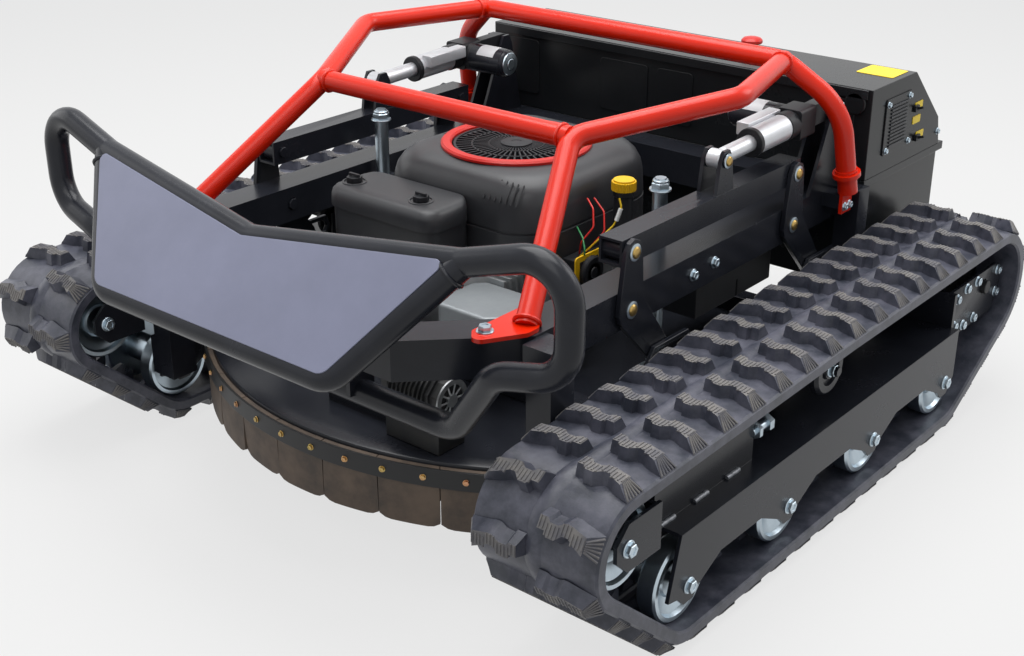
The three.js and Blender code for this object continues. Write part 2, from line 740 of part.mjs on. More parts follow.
// Bumper: tube bent into a loop at each side, a lower cross tube, and a U under the plate
const bumperRadius = 19;
const bumperBend = 55;
const bumperUBend = 40;
const plateTopWidth = 714;
const plateTopReach = 13;
const plateMiddleReach = 46;
const plateTopZ = 544;
const plateMiddleZ = 500;
const plateBottomInset = 115;
const plateBottomZ = 388;
const lowerTubeInset = 37;
const lowerTubeZ = 283;
const elbowReach = 60;
const elbowZ = 406;
const earTrackInset = 10;
const earBottomZ = 428;
const earTopZ = 590;
const plateTubeStep = 4;
const lowerTubeY = frontCrossY + bumperRadius;
const plateTopCorner = [plateTopWidth / 2, frontCrossY - plateTopReach, plateTopZ];
const plateMiddle = [0, frontCrossY - plateMiddleReach, plateMiddleZ];
const plateBottomCorner = [beamX - plateBottomInset, -(halfLength - bumperRadius), plateBottomZ];
const earX = beltX - earTrackInset;
const bumperPath = [
  [beamX - lowerTubeInset, lowerTubeY, lowerTubeZ],
  [beamX + elbowReach, frontCrossY - plateTopReach, elbowZ],
  [earX, frontCrossY, earBottomZ],
  [earX, frontCrossY, earTopZ],
  plateTopCorner,
  plateMiddle,
];
const plateTubeTop = [plateTopCorner[0] + plateTubeStep, plateTopCorner[1], plateTopCorner[2]];
const bumperPlateThickness = 5;
const bumperTabX = 130;
const bumperTabThickness = 8;
const bumperTabHalf = 24;

// The main tube runs from the lower cross round both sides of the plate; the second runs under the plate
function bumperTubes(radius) {
  const mirror = ([x, y, z]) => [-x, y, z];
  const under = [plateTubeTop, plateBottomCorner];
  return join(
    tube([[-weld, lowerTubeY, lowerTubeZ], ...bumperPath, ...bumperPath.slice(0, -1).map(mirror).reverse(),
      [weld, lowerTubeY, lowerTubeZ]], radius, bumperBend),
    tube([...under, ...under.map(mirror).reverse()], radius, bumperUBend),
  );
}

function bumperFrame() {
  const parts = [bumperTubes(bumperRadius)];
  for (const side of [-1, 1]) {
    const span = sideSpan(side, bumperTabX, bumperTabX + bumperTabThickness);
    parts.push(block(span, [lowerTubeY - bumperTabHalf, lowerTubeY + bumperTabHalf],
      [lowerTubeZ, beamBottom - seat]));
  }
  return join(parts);
}

function bumperPlate() {
  const drop = plateTopCorner[2] - plateBottomCorner[2];
  const back = plateTopCorner[1] - plateBottomCorner[1];
  const lean = Math.atan2(back, drop);
  const slant = Math.hypot(drop, back);
  const middleDrop = (plateTopCorner[2] - plateMiddle[2]) / Math.cos(lean);
  const outline = [[plateTopCorner[0], 0], [0, -middleDrop], [-plateTopCorner[0], 0],
    [-plateBottomCorner[0], -slant], [plateBottomCorner[0], -slant]].reverse();
  const shape = new THREE.Shape(outline.map(([u, v]) => new THREE.Vector2(u, v)));
  const geometry = new THREE.ExtrudeGeometry(shape, { depth: bumperPlateThickness, bevelEnabled: false });
  geometry.translate(0, 0, -bumperPlateThickness / 2);
  geometry.rotateX(Math.PI / 2 - lean);
  geometry.translate(0, plateTopCorner[1], plateTopCorner[2]);
  return cut(solid(geometry), bumperTubes(bumperRadius + seat));
}

place('bumper_frame', bumperFrame(), blackPaint);
place('bumper_plate', bumperPlate(), greyPaint);

// Rear housing: an open tray with a rim, and the cover that stands on it
const housingMotorGap = 4;
const housingHalf = beltX - motorInner - housingMotorGap;
const trayFront = beamRear + seat;
const trayBottom = 215;
const trayRimZ = 396;
const trayRimTop = 411;
const trayWallInset = 8;
const sheet = 3;
const coverTopZ = 570;
const coverTopSetback = 148;
const coverSlantSetback = 34;
const coverTopRear = halfLength - coverTopSetback;
const coverSlantY = halfLength - coverSlantSetback;
const coverSlantZ = 465;
const coverFootSetback = 20;
const coverFootRear = halfLength - coverFootSetback;

function rearTray() {
  const inner = housingHalf - trayWallInset;
  const rear = halfLength - trayWallInset;
  const body = join(
    block([-inner, inner], [trayFront, rear], [trayBottom, trayRimTop]),
    block([-housingHalf, housingHalf], [trayFront, halfLength], [trayRimZ, trayRimTop]),
  );
  const hollow = block([-inner + sheet, inner - sheet], [trayFront + sheet, rear - sheet],
    [trayBottom + sheet, trayRimTop + overrun]);
  return cut(body, hollow);
}

function coverProfile(inset) {
  const slope = Math.atan2(coverTopZ - coverSlantZ, coverSlantY - coverTopRear);
  const shift = inset * Math.tan(slope / 2);
  return [[trayFront + inset, trayRimTop + seat], [coverFootRear - inset, trayRimTop + seat],
    [coverSlantY - inset, coverSlantZ - shift], [coverTopRear - shift, coverTopZ - inset],
    [trayFront + inset, coverTopZ - inset]];
}

function rearCover() {
  const shell = cut(prism('x', coverProfile(0), -housingHalf, housingHalf),
    prism('x', coverProfile(sheet), -housingHalf + sheet, housingHalf - sheet),
    block([-housingHalf + sheet, housingHalf - sheet], [trayFront + sheet, coverSlantY - sheet],
      [trayRimTop - overrun, trayRimTop + sheet]));
  const collar = rod('z', stopAxis, stopCollarRadius, coverTopZ - sheet, coverTopZ + stopCollarHeight);
  return cut(join(shell, collar), bore('z', stopAxis, stopStemRadius, coverTopZ - stopStemDepth,
    coverTopZ + stopStemDepth));
}

// Emergency stop: a mushroom button in a collar on the cover
const stopSide = 105;
const stopSetback = 43;
const stopAxis = [stopSide, coverTopRear - stopSetback];
const stopCollarRadius = 17;
const stopCollarHeight = 8;
const stopStemRadius = 9;
const stopTravel = 4;
const stopHeadRadius = 20;
const stopHeadHeight = 12;
const stopStemDepth = 24;

place('rear_tray', rearTray(), blackPaint);
place('rear_cover', rearCover(), blackPaint);

function stopButton() {
  const base = coverTopZ + stopCollarHeight + stopTravel + seat;
  return turned('z', stopAxis, [[0, base - stopStemDepth], [stopStemRadius, base - stopStemDepth],
    [stopStemRadius, base],
    [stopHeadRadius, base], [stopHeadRadius, base + stopHeadHeight / 2],
      [stopHeadRadius / 2, base + stopHeadHeight],
    [0, base + stopHeadHeight]], 12);
}

place('stop_button', stopButton(), redPlastic);

// Deck pan: a plate with a downward rim, wide-arced in front and half round behind the spindle
const deckTrackGap = 33;
const deckHalf = trackInner - deckTrackGap;
const deckFrontRadius = 580;
const deckFrontSetback = 21;
const deckFrontCentreY = frontCrossY + deckFrontSetback + deckFrontRadius;
const spindleSetback = 15.5;
const spindleY = linkMiddleY - spindleSetback;
const deckTop = 182;
const deckPlate = 5;
const deckRimBottom = 118;
const skirtThickness = 8;
const skirtTop = 176;
const skirtBottom = 76;
const stripThickness = 4;
const stripBottom = 146;
const spindleRadius = 15;
const deckArcSteps = 12;
const deckRearSteps = 12;
const flapGap = 1.2;
const flapCount = 10;
const flapSlitTop = 140;
const slitReach = 32;

function deckOutline(offset) {
  const radius = deckFrontRadius + offset;
  const half = deckHalf + offset;
  const spread = Math.asin(half / radius);
  const points = [];
  for (let i = 0; i <= deckArcSteps; i += 1) {
    const angle = spread * ((2 * i) / deckArcSteps - 1);
    points.push([radius * Math.sin(angle), deckFrontCentreY - radius * Math.cos(angle)]);
  }
  for (let i = 0; i <= deckRearSteps; i += 1) {
    const angle = (Math.PI * i) / deckRearSteps;
    points.push([half * Math.cos(angle), spindleY + half * Math.sin(angle)]);
  }
  return points;
}

function deckPan() {
  const top = prism('z', deckOutline(0), deckTop - deckPlate, deckTop);
  const rim = prism('z', deckOutline(0), deckRimBottom, deckTop - deckPlate / 2, [deckOutline(-deckPlate)]);
  return cut(join(top, rim), bore('z', [0, spindleY], spindleRadius, deckRimBottom, deckTop + overrun));
}

function deckSkirt() {
  const inner = seat;
  const outer = seat + skirtThickness;
  const slits = [];
  const spread = Math.asin(deckHalf / deckFrontRadius);
  for (let i = 1; i < flapCount; i += 1) {
    const angle = spread * ((2 * i) / flapCount - 1);
    const geometry = new THREE.BoxGeometry(flapGap, slitReach, flapSlitTop - skirtBottom + overrun);
    geometry.translate(0, -deckFrontRadius - skirtThickness / 2, 0);
    geometry.rotateZ(angle);
    geometry.translate(0, deckFrontCentreY, (flapSlitTop + skirtBottom - overrun) / 2);
    slits.push(solid(geometry));
  }
  return cut(prism('z', deckOutline(outer), skirtBottom, skirtTop, [deckOutline(inner)]), slits);
}

function skirtStrip() {
  const inner = 2 * seat + skirtThickness;
  return prism('z', deckOutline(inner + stripThickness), stripBottom, skirtTop, [deckOutline(inner)]);
}

place('deck_pan', deckPan(), blackPaint);
place('deck_skirt', deckSkirt(), flapRubber);
place('skirt_strip', skirtStrip(), blackPaint);

// Deck cradle: two rails and two cross bars on the pan, with a slotted strut for each crank's lower pin
const railTrackGap = 31.5;
const railWidth = 40.5;
const railOuter = trackInner - railTrackGap;
const railInner = railOuter - railWidth;
const railZ = [deckTop + seat, 212];
const railFrontReach = 33;
const railRearReach = 92;
const railFront = crankY[0] - railFrontReach;
const railRear = crankY[1] + railRearReach;
const barInset = 10;
const rearBarInset = 30;
const barWidth = 35;
const frontBarY = [railFront + barInset, railFront + barInset + barWidth];
const rearBarY = [railRear - rearBarInset - barWidth, railRear - rearBarInset];
const strutThickness = 8;
const strutX = [railOuter - strutThickness, railOuter];
const crankArm = [83, -98];
const crankLowerPinRadius = 8;
const slotFront = 19;
const slotRear = 44.5;
const slotRise = 2.7;
const slotRadius = 12.5;
const strutEdge = 8;
const strutFootFront = 110;
const strutFootRear = 35;

function strutOutline(y, z) {
  const top = z + slotRise + slotRadius + strutEdge;
  const bottom = z + slotRise - slotRadius - strutEdge;
  return [[y - strutFootFront, railZ[1] - strutEdge], [y - strutFootRear, railZ[1] - strutEdge],
    [y + slotRear + slotRadius, bottom], [y + slotRear + slotRadius + strutEdge, z + slotRise],
    [y + slotRear + slotRadius, top], [y - slotFront - slotRadius, top]];
}

function deckCradle() {
  const parts = [];
  for (const side of [-1, 1]) {
    parts.push(block(sideSpan(side, railInner, railOuter), [railFront, railRear], railZ));
    for (const pivotY of crankY) {
      const [y, z] = [pivotY + crankArm[0], crankPivotZ + crankArm[1]];
      const slot = strap([y - slotFront, z + slotRise], slotRadius, [y + slotRear, z + slotRise], slotRadius);
      parts.push(prism('x', strutOutline(y, z), ...sideSpan(side, ...strutX), [slot]));
    }
  }
  const reach = railInner + weld;
  for (const bar of [frontBarY, rearBarY]) parts.push(block([-reach, reach], bar, railZ));
  return join(parts);
}

place('deck_cradle', deckCradle(), blackPaint);

// Blade: a bar on the engine's spindle
const bladeTipGap = 12;
const bladeHalf = deckHalf - bladeTipGap;
const bladeWidth = 62;
const bladeZ = [96, 103];
const spindleTop = 220;

place('blade', join(
  block([-bladeHalf, bladeHalf], [spindleY - bladeWidth / 2, spindleY + bladeWidth / 2], bladeZ),
  rod('z', [0, spindleY], spindleRadius, bladeZ[0] - overrun, spindleTop),
), castIron);

// Guide posts stand on the pan and slide in the chassis bushes
const postTop = 508;
const postFoot = 24;
const postFootHeight = 8;
const postNut = 17;
const postNutHeight = 20;

placePair('guide_post', turned('z', [postX, postY], [
  [0, deckTop + seat], [postFoot, deckTop + seat], [postFoot, deckTop + postFootHeight],
  [postRadius, deckTop + postFootHeight], [postRadius, postTop - postNutHeight],
  [postNut, postTop - postNutHeight], [postNut, postTop], [0, postTop],
], 10), zinc);

// Engine: crankcase with two finned cylinders and the filler neck
const engineHalfX = 150;
const engineFrontReach = 137;
const engineRearReach = 157;
const engineY = [spindleY - engineFrontReach, spindleY + engineRearReach];
const engineBase = deckTop + seat;
const engineTop = 360;
const engineChamfer = 40;
const neckX = 210;
const neckSetback = 12;
const neckY = spindleY + neckSetback;
const neckRadius = 14;
const neckTop = 462;
const cylinderHalf = [46, 138];
const cylinderReach = 60;
const cylinderY = engineY[0] - cylinderReach;
const cylinderZ = [262, 352];
const finDepth = 8;
const finCount = 4;

function chamferedPlan([x0, x1], [y0, y1], chamfer) {
  return [[x0 + chamfer, y0], [x1 - chamfer, y0], [x1, y0 + chamfer], [x1, y1 - chamfer], [x1 - chamfer, y1],
    [x0 + chamfer, y1], [x0, y1 - chamfer], [x0, y0 + chamfer]];
}

function engineBlock() {
  const plan = chamferedPlan([-engineHalfX, engineHalfX], engineY, engineChamfer);
  const parts = [prism('z', plan, engineBase, engineTop)];
  for (const side of [-1, 1]) {
    const xs = sideSpan(side, ...cylinderHalf);
    const core = [xs[0] + finDepth, xs[1] - finDepth];
    parts.push(block(core, [cylinderY, engineY[0] + weld],
      [cylinderZ[0] + finDepth, cylinderZ[1] - finDepth]));
    const pitch = (engineY[0] - cylinderY) / finCount;
    for (let i = 0; i < finCount; i += 1) {
      const y = cylinderY + i * pitch;
      parts.push(block(xs, [y, y + pitch / 3], cylinderZ));
    }
  }
  parts.push(tube([[engineHalfX - engineChamfer, neckY, cylinderZ[0]],
    [neckX, neckY, cylinderZ[0] + beamHalf],
    [neckX, neckY, neckTop]], neckRadius, neckRadius * 2));
  return cut(join(parts), bore('z', [0, spindleY], spindleRadius, engineBase - overrun, spindleTop + seat));
}

place('engine_block', engineBlock(), aluminium);

// Battery boxes hang under the beams
const batteryEngineGap = 65;
const batteryInset = 10;
const batteryInner = engineHalfX + batteryEngineGap;
const batteryOuter = beamX - batteryInset;
const batteryY = [0, 230];
const batteryBottom = 267;
const batterySplitShare = 0.53;
const batteryGroove = 3;

function batteryBox() {
  const box = block([batteryInner, batteryOuter], batteryY, [batteryBottom, beamBottom - seat]);
  const split = batteryY[0] + (batteryY[1] - batteryY[0]) * batterySplitShare;
  const groove = block([batteryInner - overrun, batteryOuter + overrun], [split, split + batteryGroove],
    [batteryBottom - overrun, batteryBottom + beamHalf]);
  return cut(box, groove);
}

placePair('battery_box', batteryBox(), blackPlastic);

// Engine shroud with the fan well, and the red ring round it
const shroudX = [-172, 172];
const shroudFrontLap = 27;
const shroudRearLap = 20;
const shroudY = [engineY[0] - shroudFrontLap, engineY[1] + shroudRearLap];
const shroudTop = 500;
const shroudChamfer = 55;
const shroudBevel = 14;
const ringOuter = 126;
const ringInner = 107;
const ringHeight = 7;
const fanWellDepth = 16;
const fanHubRadius = 14;
const fanHubDepth = 30;
const screenRadius = 104;
const screenHeight = 9;
const screenHub = 24;
const fanVanes = 6;
const vaneWidth = 4;

function bevelledPrism(outline, z0, z1, bevel) {
  const shape = new THREE.Shape(outline.map(([u, v]) => new THREE.Vector2(u, v)));
  const geometry = new THREE.ExtrudeGeometry(shape, {
    depth: z1 - z0 - bevel, bevelEnabled: true, bevelThickness: bevel, bevelSize: bevel,
      bevelOffset: -bevel, bevelSegments: 1,
  });
  geometry.translate(0, 0, z0);
  const below = prism('z', [[-overallWidth, -overallLength], [overallWidth, -overallLength],
    [overallWidth, overallLength], [-overallWidth, overallLength]], z0 - bevel - overrun, z0);
  return cut(solid(geometry), below);
}

const shroudBase = engineTop + seat;
place('engine_shroud', cut(
  bevelledPrism(chamferedPlan(shroudX, shroudY, shroudChamfer), shroudBase, shroudTop, shroudBevel),
  rod('z', [0, spindleY], ringInner, shroudTop - fanWellDepth, shroudTop + overrun, 24),
  bore('z', [0, spindleY], fanHubRadius, shroudTop - fanHubDepth - seat, shroudTop + overrun),
), blackPlastic);

place('fan_ring', prism('z', circle(0, spindleY, ringOuter, 24), shroudTop + seat, shroudTop + ringHeight,
  [circle(0, spindleY, ringInner, 24)]), redPlastic);

function fanScreen() {
  const [bottom, top] = [shroudTop - fanWellDepth + overrun, shroudTop + overrun];
  const parts = [prism('z', circle(0, spindleY, screenRadius, 20), top - screenHeight, top,
    [circle(0, spindleY, screenRadius - screenHeight, 20)])];
  parts.push(rod('z', [0, spindleY], screenHub, bottom, top));
  parts.push(rod('z', [0, spindleY], fanHubRadius, shroudTop - fanHubDepth, top));
  for (let i = 0; i < fanVanes; i += 1) {
    const geometry = new THREE.BoxGeometry(screenRadius - screenHeight / 2, vaneWidth, screenHeight);
    geometry.translate(screenRadius / 2 - screenHeight / 4, 0, top - screenHeight / 2);
    geometry.rotateZ((i / fanVanes) * 2 * Math.PI);
    geometry.translate(0, spindleY, 0);
    parts.push(solid(geometry));
  }
  return join(parts);
}

place('fan_screen', fanScreen(), blackPlastic);

// Air cleaner cover in front of the shroud, held by two knobs
const airX = [-182, 52];
const airDepth = 103;
const airY = [shroudY[0] - airDepth, shroudY[0] - seat];
const airTop = 460;
const airZ = [cylinderZ[1] + seat, airTop];
const airChamfer = 34;
const airBevel = 10;
const knobRadius = 13;
const knobHeight = 10;
const knobStem = 4;
const knobInset = 32;
const knobSpacing = 146;
const knobSetback = 40;
const knobY = airY[0] + knobSetback;
const knobPlaces = [['left', airX[0] + knobInset, knobY],
  ['right', airX[0] + knobInset + knobSpacing, knobY]];

function airCleanerCover() {
  const body = bevelledPrism(chamferedPlan(airX, airY, airChamfer), airZ[0], airZ[1], airBevel);
  return cut(body, knobPlaces.map(([, x, y]) => bore('z', [x, y], knobStem, airZ[1] - beamHalf,
    airZ[1] + overrun)));
}

place('air_cleaner_cover', airCleanerCover(), blackPlastic);
for (const [name, x, y] of knobPlaces) {
  place(`cover_knob_${name}`, join(
    rod('z', [x, y], knobRadius, airZ[1] + seat, airZ[1] + knobHeight / 2, 10),
    rod('z', [x, y], knobStem, airZ[1] - beamHalf / 2, airZ[1] + knobHeight / 2, 8),
    block([x - knobRadius, x + knobRadius], [y - knobStem, y + knobStem],
      [airZ[1] + knobHeight / 2 - weld, airZ[1] + knobHeight]),
  ), blackPlastic);
}

// Muffler in front of the right cylinder
const mufflerX = [88, 214];
const mufflerDepth = 113;
const mufflerY = [cylinderY - mufflerDepth, cylinderY - seat];
const mufflerZ = [280, 345];
const mufflerChamfer = 18;

place('muffler', prism('z', chamferedPlan(mufflerX, mufflerY, mufflerChamfer), ...mufflerZ), aluminium);

// Starter motor beside the crankcase
const starterReach = 34;
const starterSetback = 75;
const starterAxis = [engineHalfX + starterReach, spindleY - starterSetback];
const starterRadius = 30;
const starterZ = [214, 330];
const starterFlange = 8;

place('starter_motor', join(
  rod('z', starterAxis, starterRadius, ...starterZ),
  block([engineHalfX + seat, starterAxis[0]],
    [starterAxis[1] - starterRadius, starterAxis[1] + starterRadius],
    [starterZ[1] - starterFlange, starterZ[1]]),
), blackPaint);

// Throttle servo on its bracket above the starter
const servoInset = 8;
const servoWidth = 34;
const servoX = [starterAxis[0] - servoInset, starterAxis[0] - servoInset + servoWidth];
const servoHalf = 24;
const servoY = [starterAxis[1] - servoHalf, starterAxis[1] + servoHalf];
const servoHeight = 42;
const servoDiscRadius = 18;
const servoDisc = 10;

place('throttle_servo', join(
  block(servoX, servoY, [starterZ[1] + seat, starterZ[1] + servoHeight]),
  rod('x', [starterAxis[1], starterZ[1] + servoHeight / 2], servoDiscRadius, servoX[1] - weld,
    servoX[1] + servoDisc),
), blackPlastic);

// Filler cap on the neck
const capRadius = 20;
const capHeight = 18;

place('filler_cap', rod('z', [neckX, neckY], capRadius, neckTop + seat, neckTop + capHeight, 14),
  yellowPlastic);

// Alternator: a finned round body on a foot at the front of the deck
const alternatorX = [118, 223];
const alternatorSetback = 89;
const alternatorY = deckFrontCentreY - deckFrontRadius + alternatorSetback;
const alternatorZ = 262;
const alternatorRadius = 38;
const alternatorFootHalf = 28;
const alternatorFins = 4;
const alternatorFinDepth = 6;

function alternator() {
  const core = alternatorRadius - alternatorFinDepth;
  const pitch = (alternatorX[1] - alternatorX[0]) / alternatorFins;
  const parts = [rod('x', [alternatorY, alternatorZ], core, ...alternatorX)];
  for (let i = 0; i < alternatorFins; i += 1) {
    const x = alternatorX[0] + i * pitch;
    parts.push(rod('x', [alternatorY, alternatorZ], alternatorRadius, x, x + pitch / 2));
  }
  parts.push(block([alternatorX[0], alternatorX[1]],
    [alternatorY - alternatorFootHalf, alternatorY + alternatorFootHalf],
    [deckTop + seat, alternatorZ]));
  return join(parts);
}

place('alternator', alternator(), castIron);

// Lift linkage: four cranks, two links, two actuators
const crankThickness = 8.5;
const crankPlate = [beamX + beamHalf + seat, beamX + beamHalf + seat + crankThickness];
const crankTopArm = [3, 87];
const crankLobes = [20, 30, 22];
const topPinRadius = 9;
const linkWidth = 40;
const linkX = [beamX + beamHalf - linkWidth, beamX + beamHalf];
const linkHalf = 20;
const linkWall = 4;
const linkZ = crankPivotZ + crankTopArm[1];
const pinHead = 6;
const pinOverhang = 4;
const linkTopPinInner = linkX[0] - pinOverhang;
const crankPinInner = beamX - beamHalf - pinOverhang;

function crank(pivotY) {
  const pivot = [pivotY, crankPivotZ];
  const top = [pivotY + crankTopArm[0], crankPivotZ + crankTopArm[1]];
  const low = [pivotY + crankArm[0], crankPivotZ + crankArm[1]];
  const [inside, outside] = crankPlate;
  return join(
    prism('x', strap(pivot, crankLobes[1], top, crankLobes[0]), inside, outside),
    prism('x', strap(pivot, crankLobes[1], low, crankLobes[2]), inside, outside),
    rod('x', pivot, crankPinRadius, crankPinInner, inside + weld),
    rod('x', top, topPinRadius, linkTopPinInner, inside + weld),
    rod('x', low, crankLowerPinRadius, outside - weld, strutX[1] + pinHead),
  );
}

placePair('front_crank', crank(crankY[0]), blackPaint);
placePair('rear_crank', crank(crankY[1]), blackPaint);

// Upper link: box bar between the cranks' top pins, with the clevis that the actuator pushes
const clevisStep = 24.5;
const clevisY = linkMiddleY + clevisStep;
const clevisZ = 537;
const clevisInset = 2;
const clevisCheeks = [[linkX[0] + clevisInset, linkX[0] + clevisInset + cheekThickness],
  [linkX[1] - clevisInset - cheekThickness, linkX[1] - clevisInset]];
const clevisHalf = 24;
const clevisLobe = 16;
const clevisPinRadius = 7;

function upperLink() {
  const [front, rear] = crankY.map((y) => y + crankTopArm[0]);
  const ends = [front - linkHalf, rear + linkHalf];
  const bar = cut(
    block(linkX, ends, [linkZ - linkHalf, linkZ + linkHalf]),
    block([linkX[0] + linkWall, linkX[1] - linkWall], [ends[0] - overrun, ends[1] + overrun],
      [linkZ - linkHalf + linkWall, linkZ + linkHalf - linkWall]),
    [front, rear].map((y) => bore('x', [y, linkZ], topPinRadius, linkX[0] - overrun, linkX[1] + overrun)),
  );
  const foot = linkZ + linkHalf - weld;
  const cheek = [[clevisY - clevisHalf, foot], [clevisY + clevisHalf, foot], [clevisY + clevisLobe, clevisZ],
    [clevisY + clevisLobe / 2, clevisZ + clevisLobe], [clevisY - clevisLobe / 2, clevisZ + clevisLobe],
    [clevisY - clevisLobe, clevisZ]];
  return join(bar, clevisCheeks.map((pair) => prism('x', cheek, ...pair)),
    rod('x', [clevisY, clevisZ], clevisPinRadius, clevisCheeks[0][0], clevisCheeks[1][1] + pinHead));
}

placePair('upper_link', upperLink(), blackPaint);

// Linear actuator: drawn level along +Y from the clevis pin, then tipped up to the tower's pin
const actuatorX = (linkX[0] + linkX[1]) / 2;
const actuatorReach = Math.hypot(actuatorPivotY - clevisY, actuatorPivotZ - clevisZ);
const actuatorTilt = Math.atan2(actuatorPivotZ - clevisZ, actuatorPivotY - clevisY);
const rodRadius = 13;
const rodEye = 15;
const rodEyeHalf = 11;
const rodEyeLength = 20;
const barrelStartShare = 0.28;
const barrelEndShare = 0.632;
const gearboxEndShare = 0.7645;
const barrelStart = actuatorReach * barrelStartShare;
const barrelEnd = actuatorReach * barrelEndShare;
const gearboxEnd = actuatorReach * gearboxEndShare;
const rodInset = 25;
const rodEnd = barrelEnd - rodInset;
const barrelRadius = 22;
const barrelCap = 5;
const barrelBore = barrelEnd - barrelCap;
const barrelRailWidth = 15;
const barrelRailHalf = 19;
const barrelRailSetback = 13;
const barrelRailStart = barrelStart + barrelRailSetback;
const collarRadius = 25;
const collarWidth = 27;
const collarStart = barrelEnd - collarWidth;
const gearboxHalfX = 23;
const gearboxHalfZ = 25;
const bodyMotorInset = 24;
const bodyMotorY = gearboxEnd - bodyMotorInset;
const bodyMotorDrop = 3;
const bodyMotorRadius = 26;
const bodyMotorInner = 118;
const bodyEyeRadius = 18;
const bodyEyeBore = 11.5;

function tipped(body) {
  const geometry = geometryOf(body);
  geometry.rotateX(actuatorTilt);
  geometry.translate(actuatorX, clevisY, clevisZ);
  return geometry;
}

function placeTippedPair(name, body, material) {
  const geometry = tipped(body);
  place(`${name}_right`, geometry, material);
  place(`${name}_left`, mirrored(geometry), material);
}

placeTippedPair('actuator_rod', cut(join(
  rod('x', [0, 0], rodEye, -rodEyeHalf, rodEyeHalf),
  block([-rodEyeHalf, rodEyeHalf], [0, rodEyeLength], [-rodRadius / 2, rodRadius / 2]),
  rod('y', [0, 0], rodRadius, rodEyeLength - overrun, rodEnd),
), bore('x', [0, 0], clevisPinRadius, -rodEye, rodEye)), aluminium);

function actuatorBody() {
  const parts = [
    rod('y', [0, 0], barrelRadius, barrelStart, barrelEnd, 12),
    rod('y', [0, 0], collarRadius, collarStart, barrelEnd, 12),
    block([-barrelRadius - barrelRailWidth, 0], [barrelRailStart, barrelEnd],
      [-barrelRailHalf, barrelRailHalf]),
    block([-gearboxHalfX, gearboxHalfX], [barrelEnd - overrun, gearboxEnd], [-gearboxHalfZ, gearboxHalfZ]),
    rod('x', [bodyMotorY, -bodyMotorDrop], bodyMotorRadius, -bodyMotorInner, 0, 12),
    prism('x', strap([gearboxEnd - bodyEyeRadius, 0], bodyEyeRadius, [actuatorReach, 0], bodyEyeRadius),
      -rodEyeHalf, rodEyeHalf),
  ];
  return cut(join(parts),
    rod('y', [0, 0], rodRadius + runFit, barrelStart - overrun, barrelBore),
    rod('x', [actuatorReach, 0], bodyEyeBore, -barrelRadius, barrelRadius));
}

placeTippedPair('actuator_body', actuatorBody(), blackPaint);

export default mower;
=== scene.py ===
import math
import random
import bmesh
import bpy
from mathutils import Matrix, Vector


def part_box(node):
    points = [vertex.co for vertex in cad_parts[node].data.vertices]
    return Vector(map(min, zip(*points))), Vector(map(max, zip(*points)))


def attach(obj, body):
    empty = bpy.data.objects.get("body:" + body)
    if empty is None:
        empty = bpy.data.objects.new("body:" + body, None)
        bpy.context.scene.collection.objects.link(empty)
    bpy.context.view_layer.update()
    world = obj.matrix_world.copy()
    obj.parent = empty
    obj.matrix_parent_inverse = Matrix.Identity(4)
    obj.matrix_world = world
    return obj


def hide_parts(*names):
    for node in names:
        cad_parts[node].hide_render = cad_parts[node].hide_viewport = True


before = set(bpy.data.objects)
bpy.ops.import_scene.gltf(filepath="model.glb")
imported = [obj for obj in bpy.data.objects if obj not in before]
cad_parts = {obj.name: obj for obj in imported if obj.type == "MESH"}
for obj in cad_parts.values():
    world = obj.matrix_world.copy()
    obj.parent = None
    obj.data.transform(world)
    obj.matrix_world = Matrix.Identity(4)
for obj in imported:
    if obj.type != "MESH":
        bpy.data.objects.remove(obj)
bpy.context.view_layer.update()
# Shapes are drawn in mm, and piece() brings them to metres
mm = 0.001
scene = bpy.context.scene
scene.view_settings.view_transform = "Standard"
SIDES = (("right", 1), ("left", -1))


# Studio: a pale floor, a white surround and soft lamps round a camera at the photograph's angle.
# The floor shows near white to the camera and keeps a soft shadow under the machine.
camera_data = bpy.data.cameras.new("camera")
camera_data.sensor_width = 36
camera_data.lens = 51.07
camera = bpy.data.objects.new("camera", camera_data)
camera.location = (1.470, -1.811, 1.207)
camera.rotation_euler = (math.radians(65.7), 0, math.radians(39.8))
scene.collection.objects.link(camera)
scene.camera = camera


def linear(code):
    """The linear colour of an sRGB hex code."""
    channels = [int(code[i:i + 2], 16) / 255 for i in (0, 2, 4)]
    return (*[c / 12.92 if c <= 0.04045 else ((c + 0.055) / 1.055) ** 2.4 for c in channels], 1)


def add(tree, kind, inputs=None, **settings):
    """Adds a node. An input takes a value, or the socket that feeds it."""
    node = tree.nodes.new(kind)
    for name, value in settings.items():
        setattr(node, name, value)
    for key, value in (inputs or {}).items():
        if isinstance(value, bpy.types.NodeSocket):
            tree.links.new(value, node.inputs[key])
        else:
            node.inputs[key].default_value = value
    return node


def seen_directly(tree):
    """1 for rays that end in the camera, straight or by a mirror or glass, and 0 for other light."""
    path = add(tree, "ShaderNodeLightPath")
    mirrored = add(tree, "ShaderNodeMath", {
        0: path.outputs["Is Camera Ray"], 1: path.outputs["Is Glossy Ray"]})
    return add(tree, "ShaderNodeMath", {0: mirrored.outputs[0], 1: path.outputs["Is Transmission Ray"]},
               use_clamp=True).outputs[0]


world = bpy.data.worlds.new("studio")
world.use_nodes = True
world.node_tree.nodes.clear()
surround_light = add(world.node_tree, "ShaderNodeBackground", {"Color": linear("f4f7ff"), "Strength": 0.34})
surround_seen = add(world.node_tree, "ShaderNodeBackground", {"Color": linear("ffffff"), "Strength": 1.0})
surround = add(world.node_tree, "ShaderNodeMixShader", {
    0: seen_directly(world.node_tree), 1: surround_light.outputs[0], 2: surround_seen.outputs[0]})
add(world.node_tree, "ShaderNodeOutputWorld", {"Surface": surround.outputs[0]})
scene.world = world

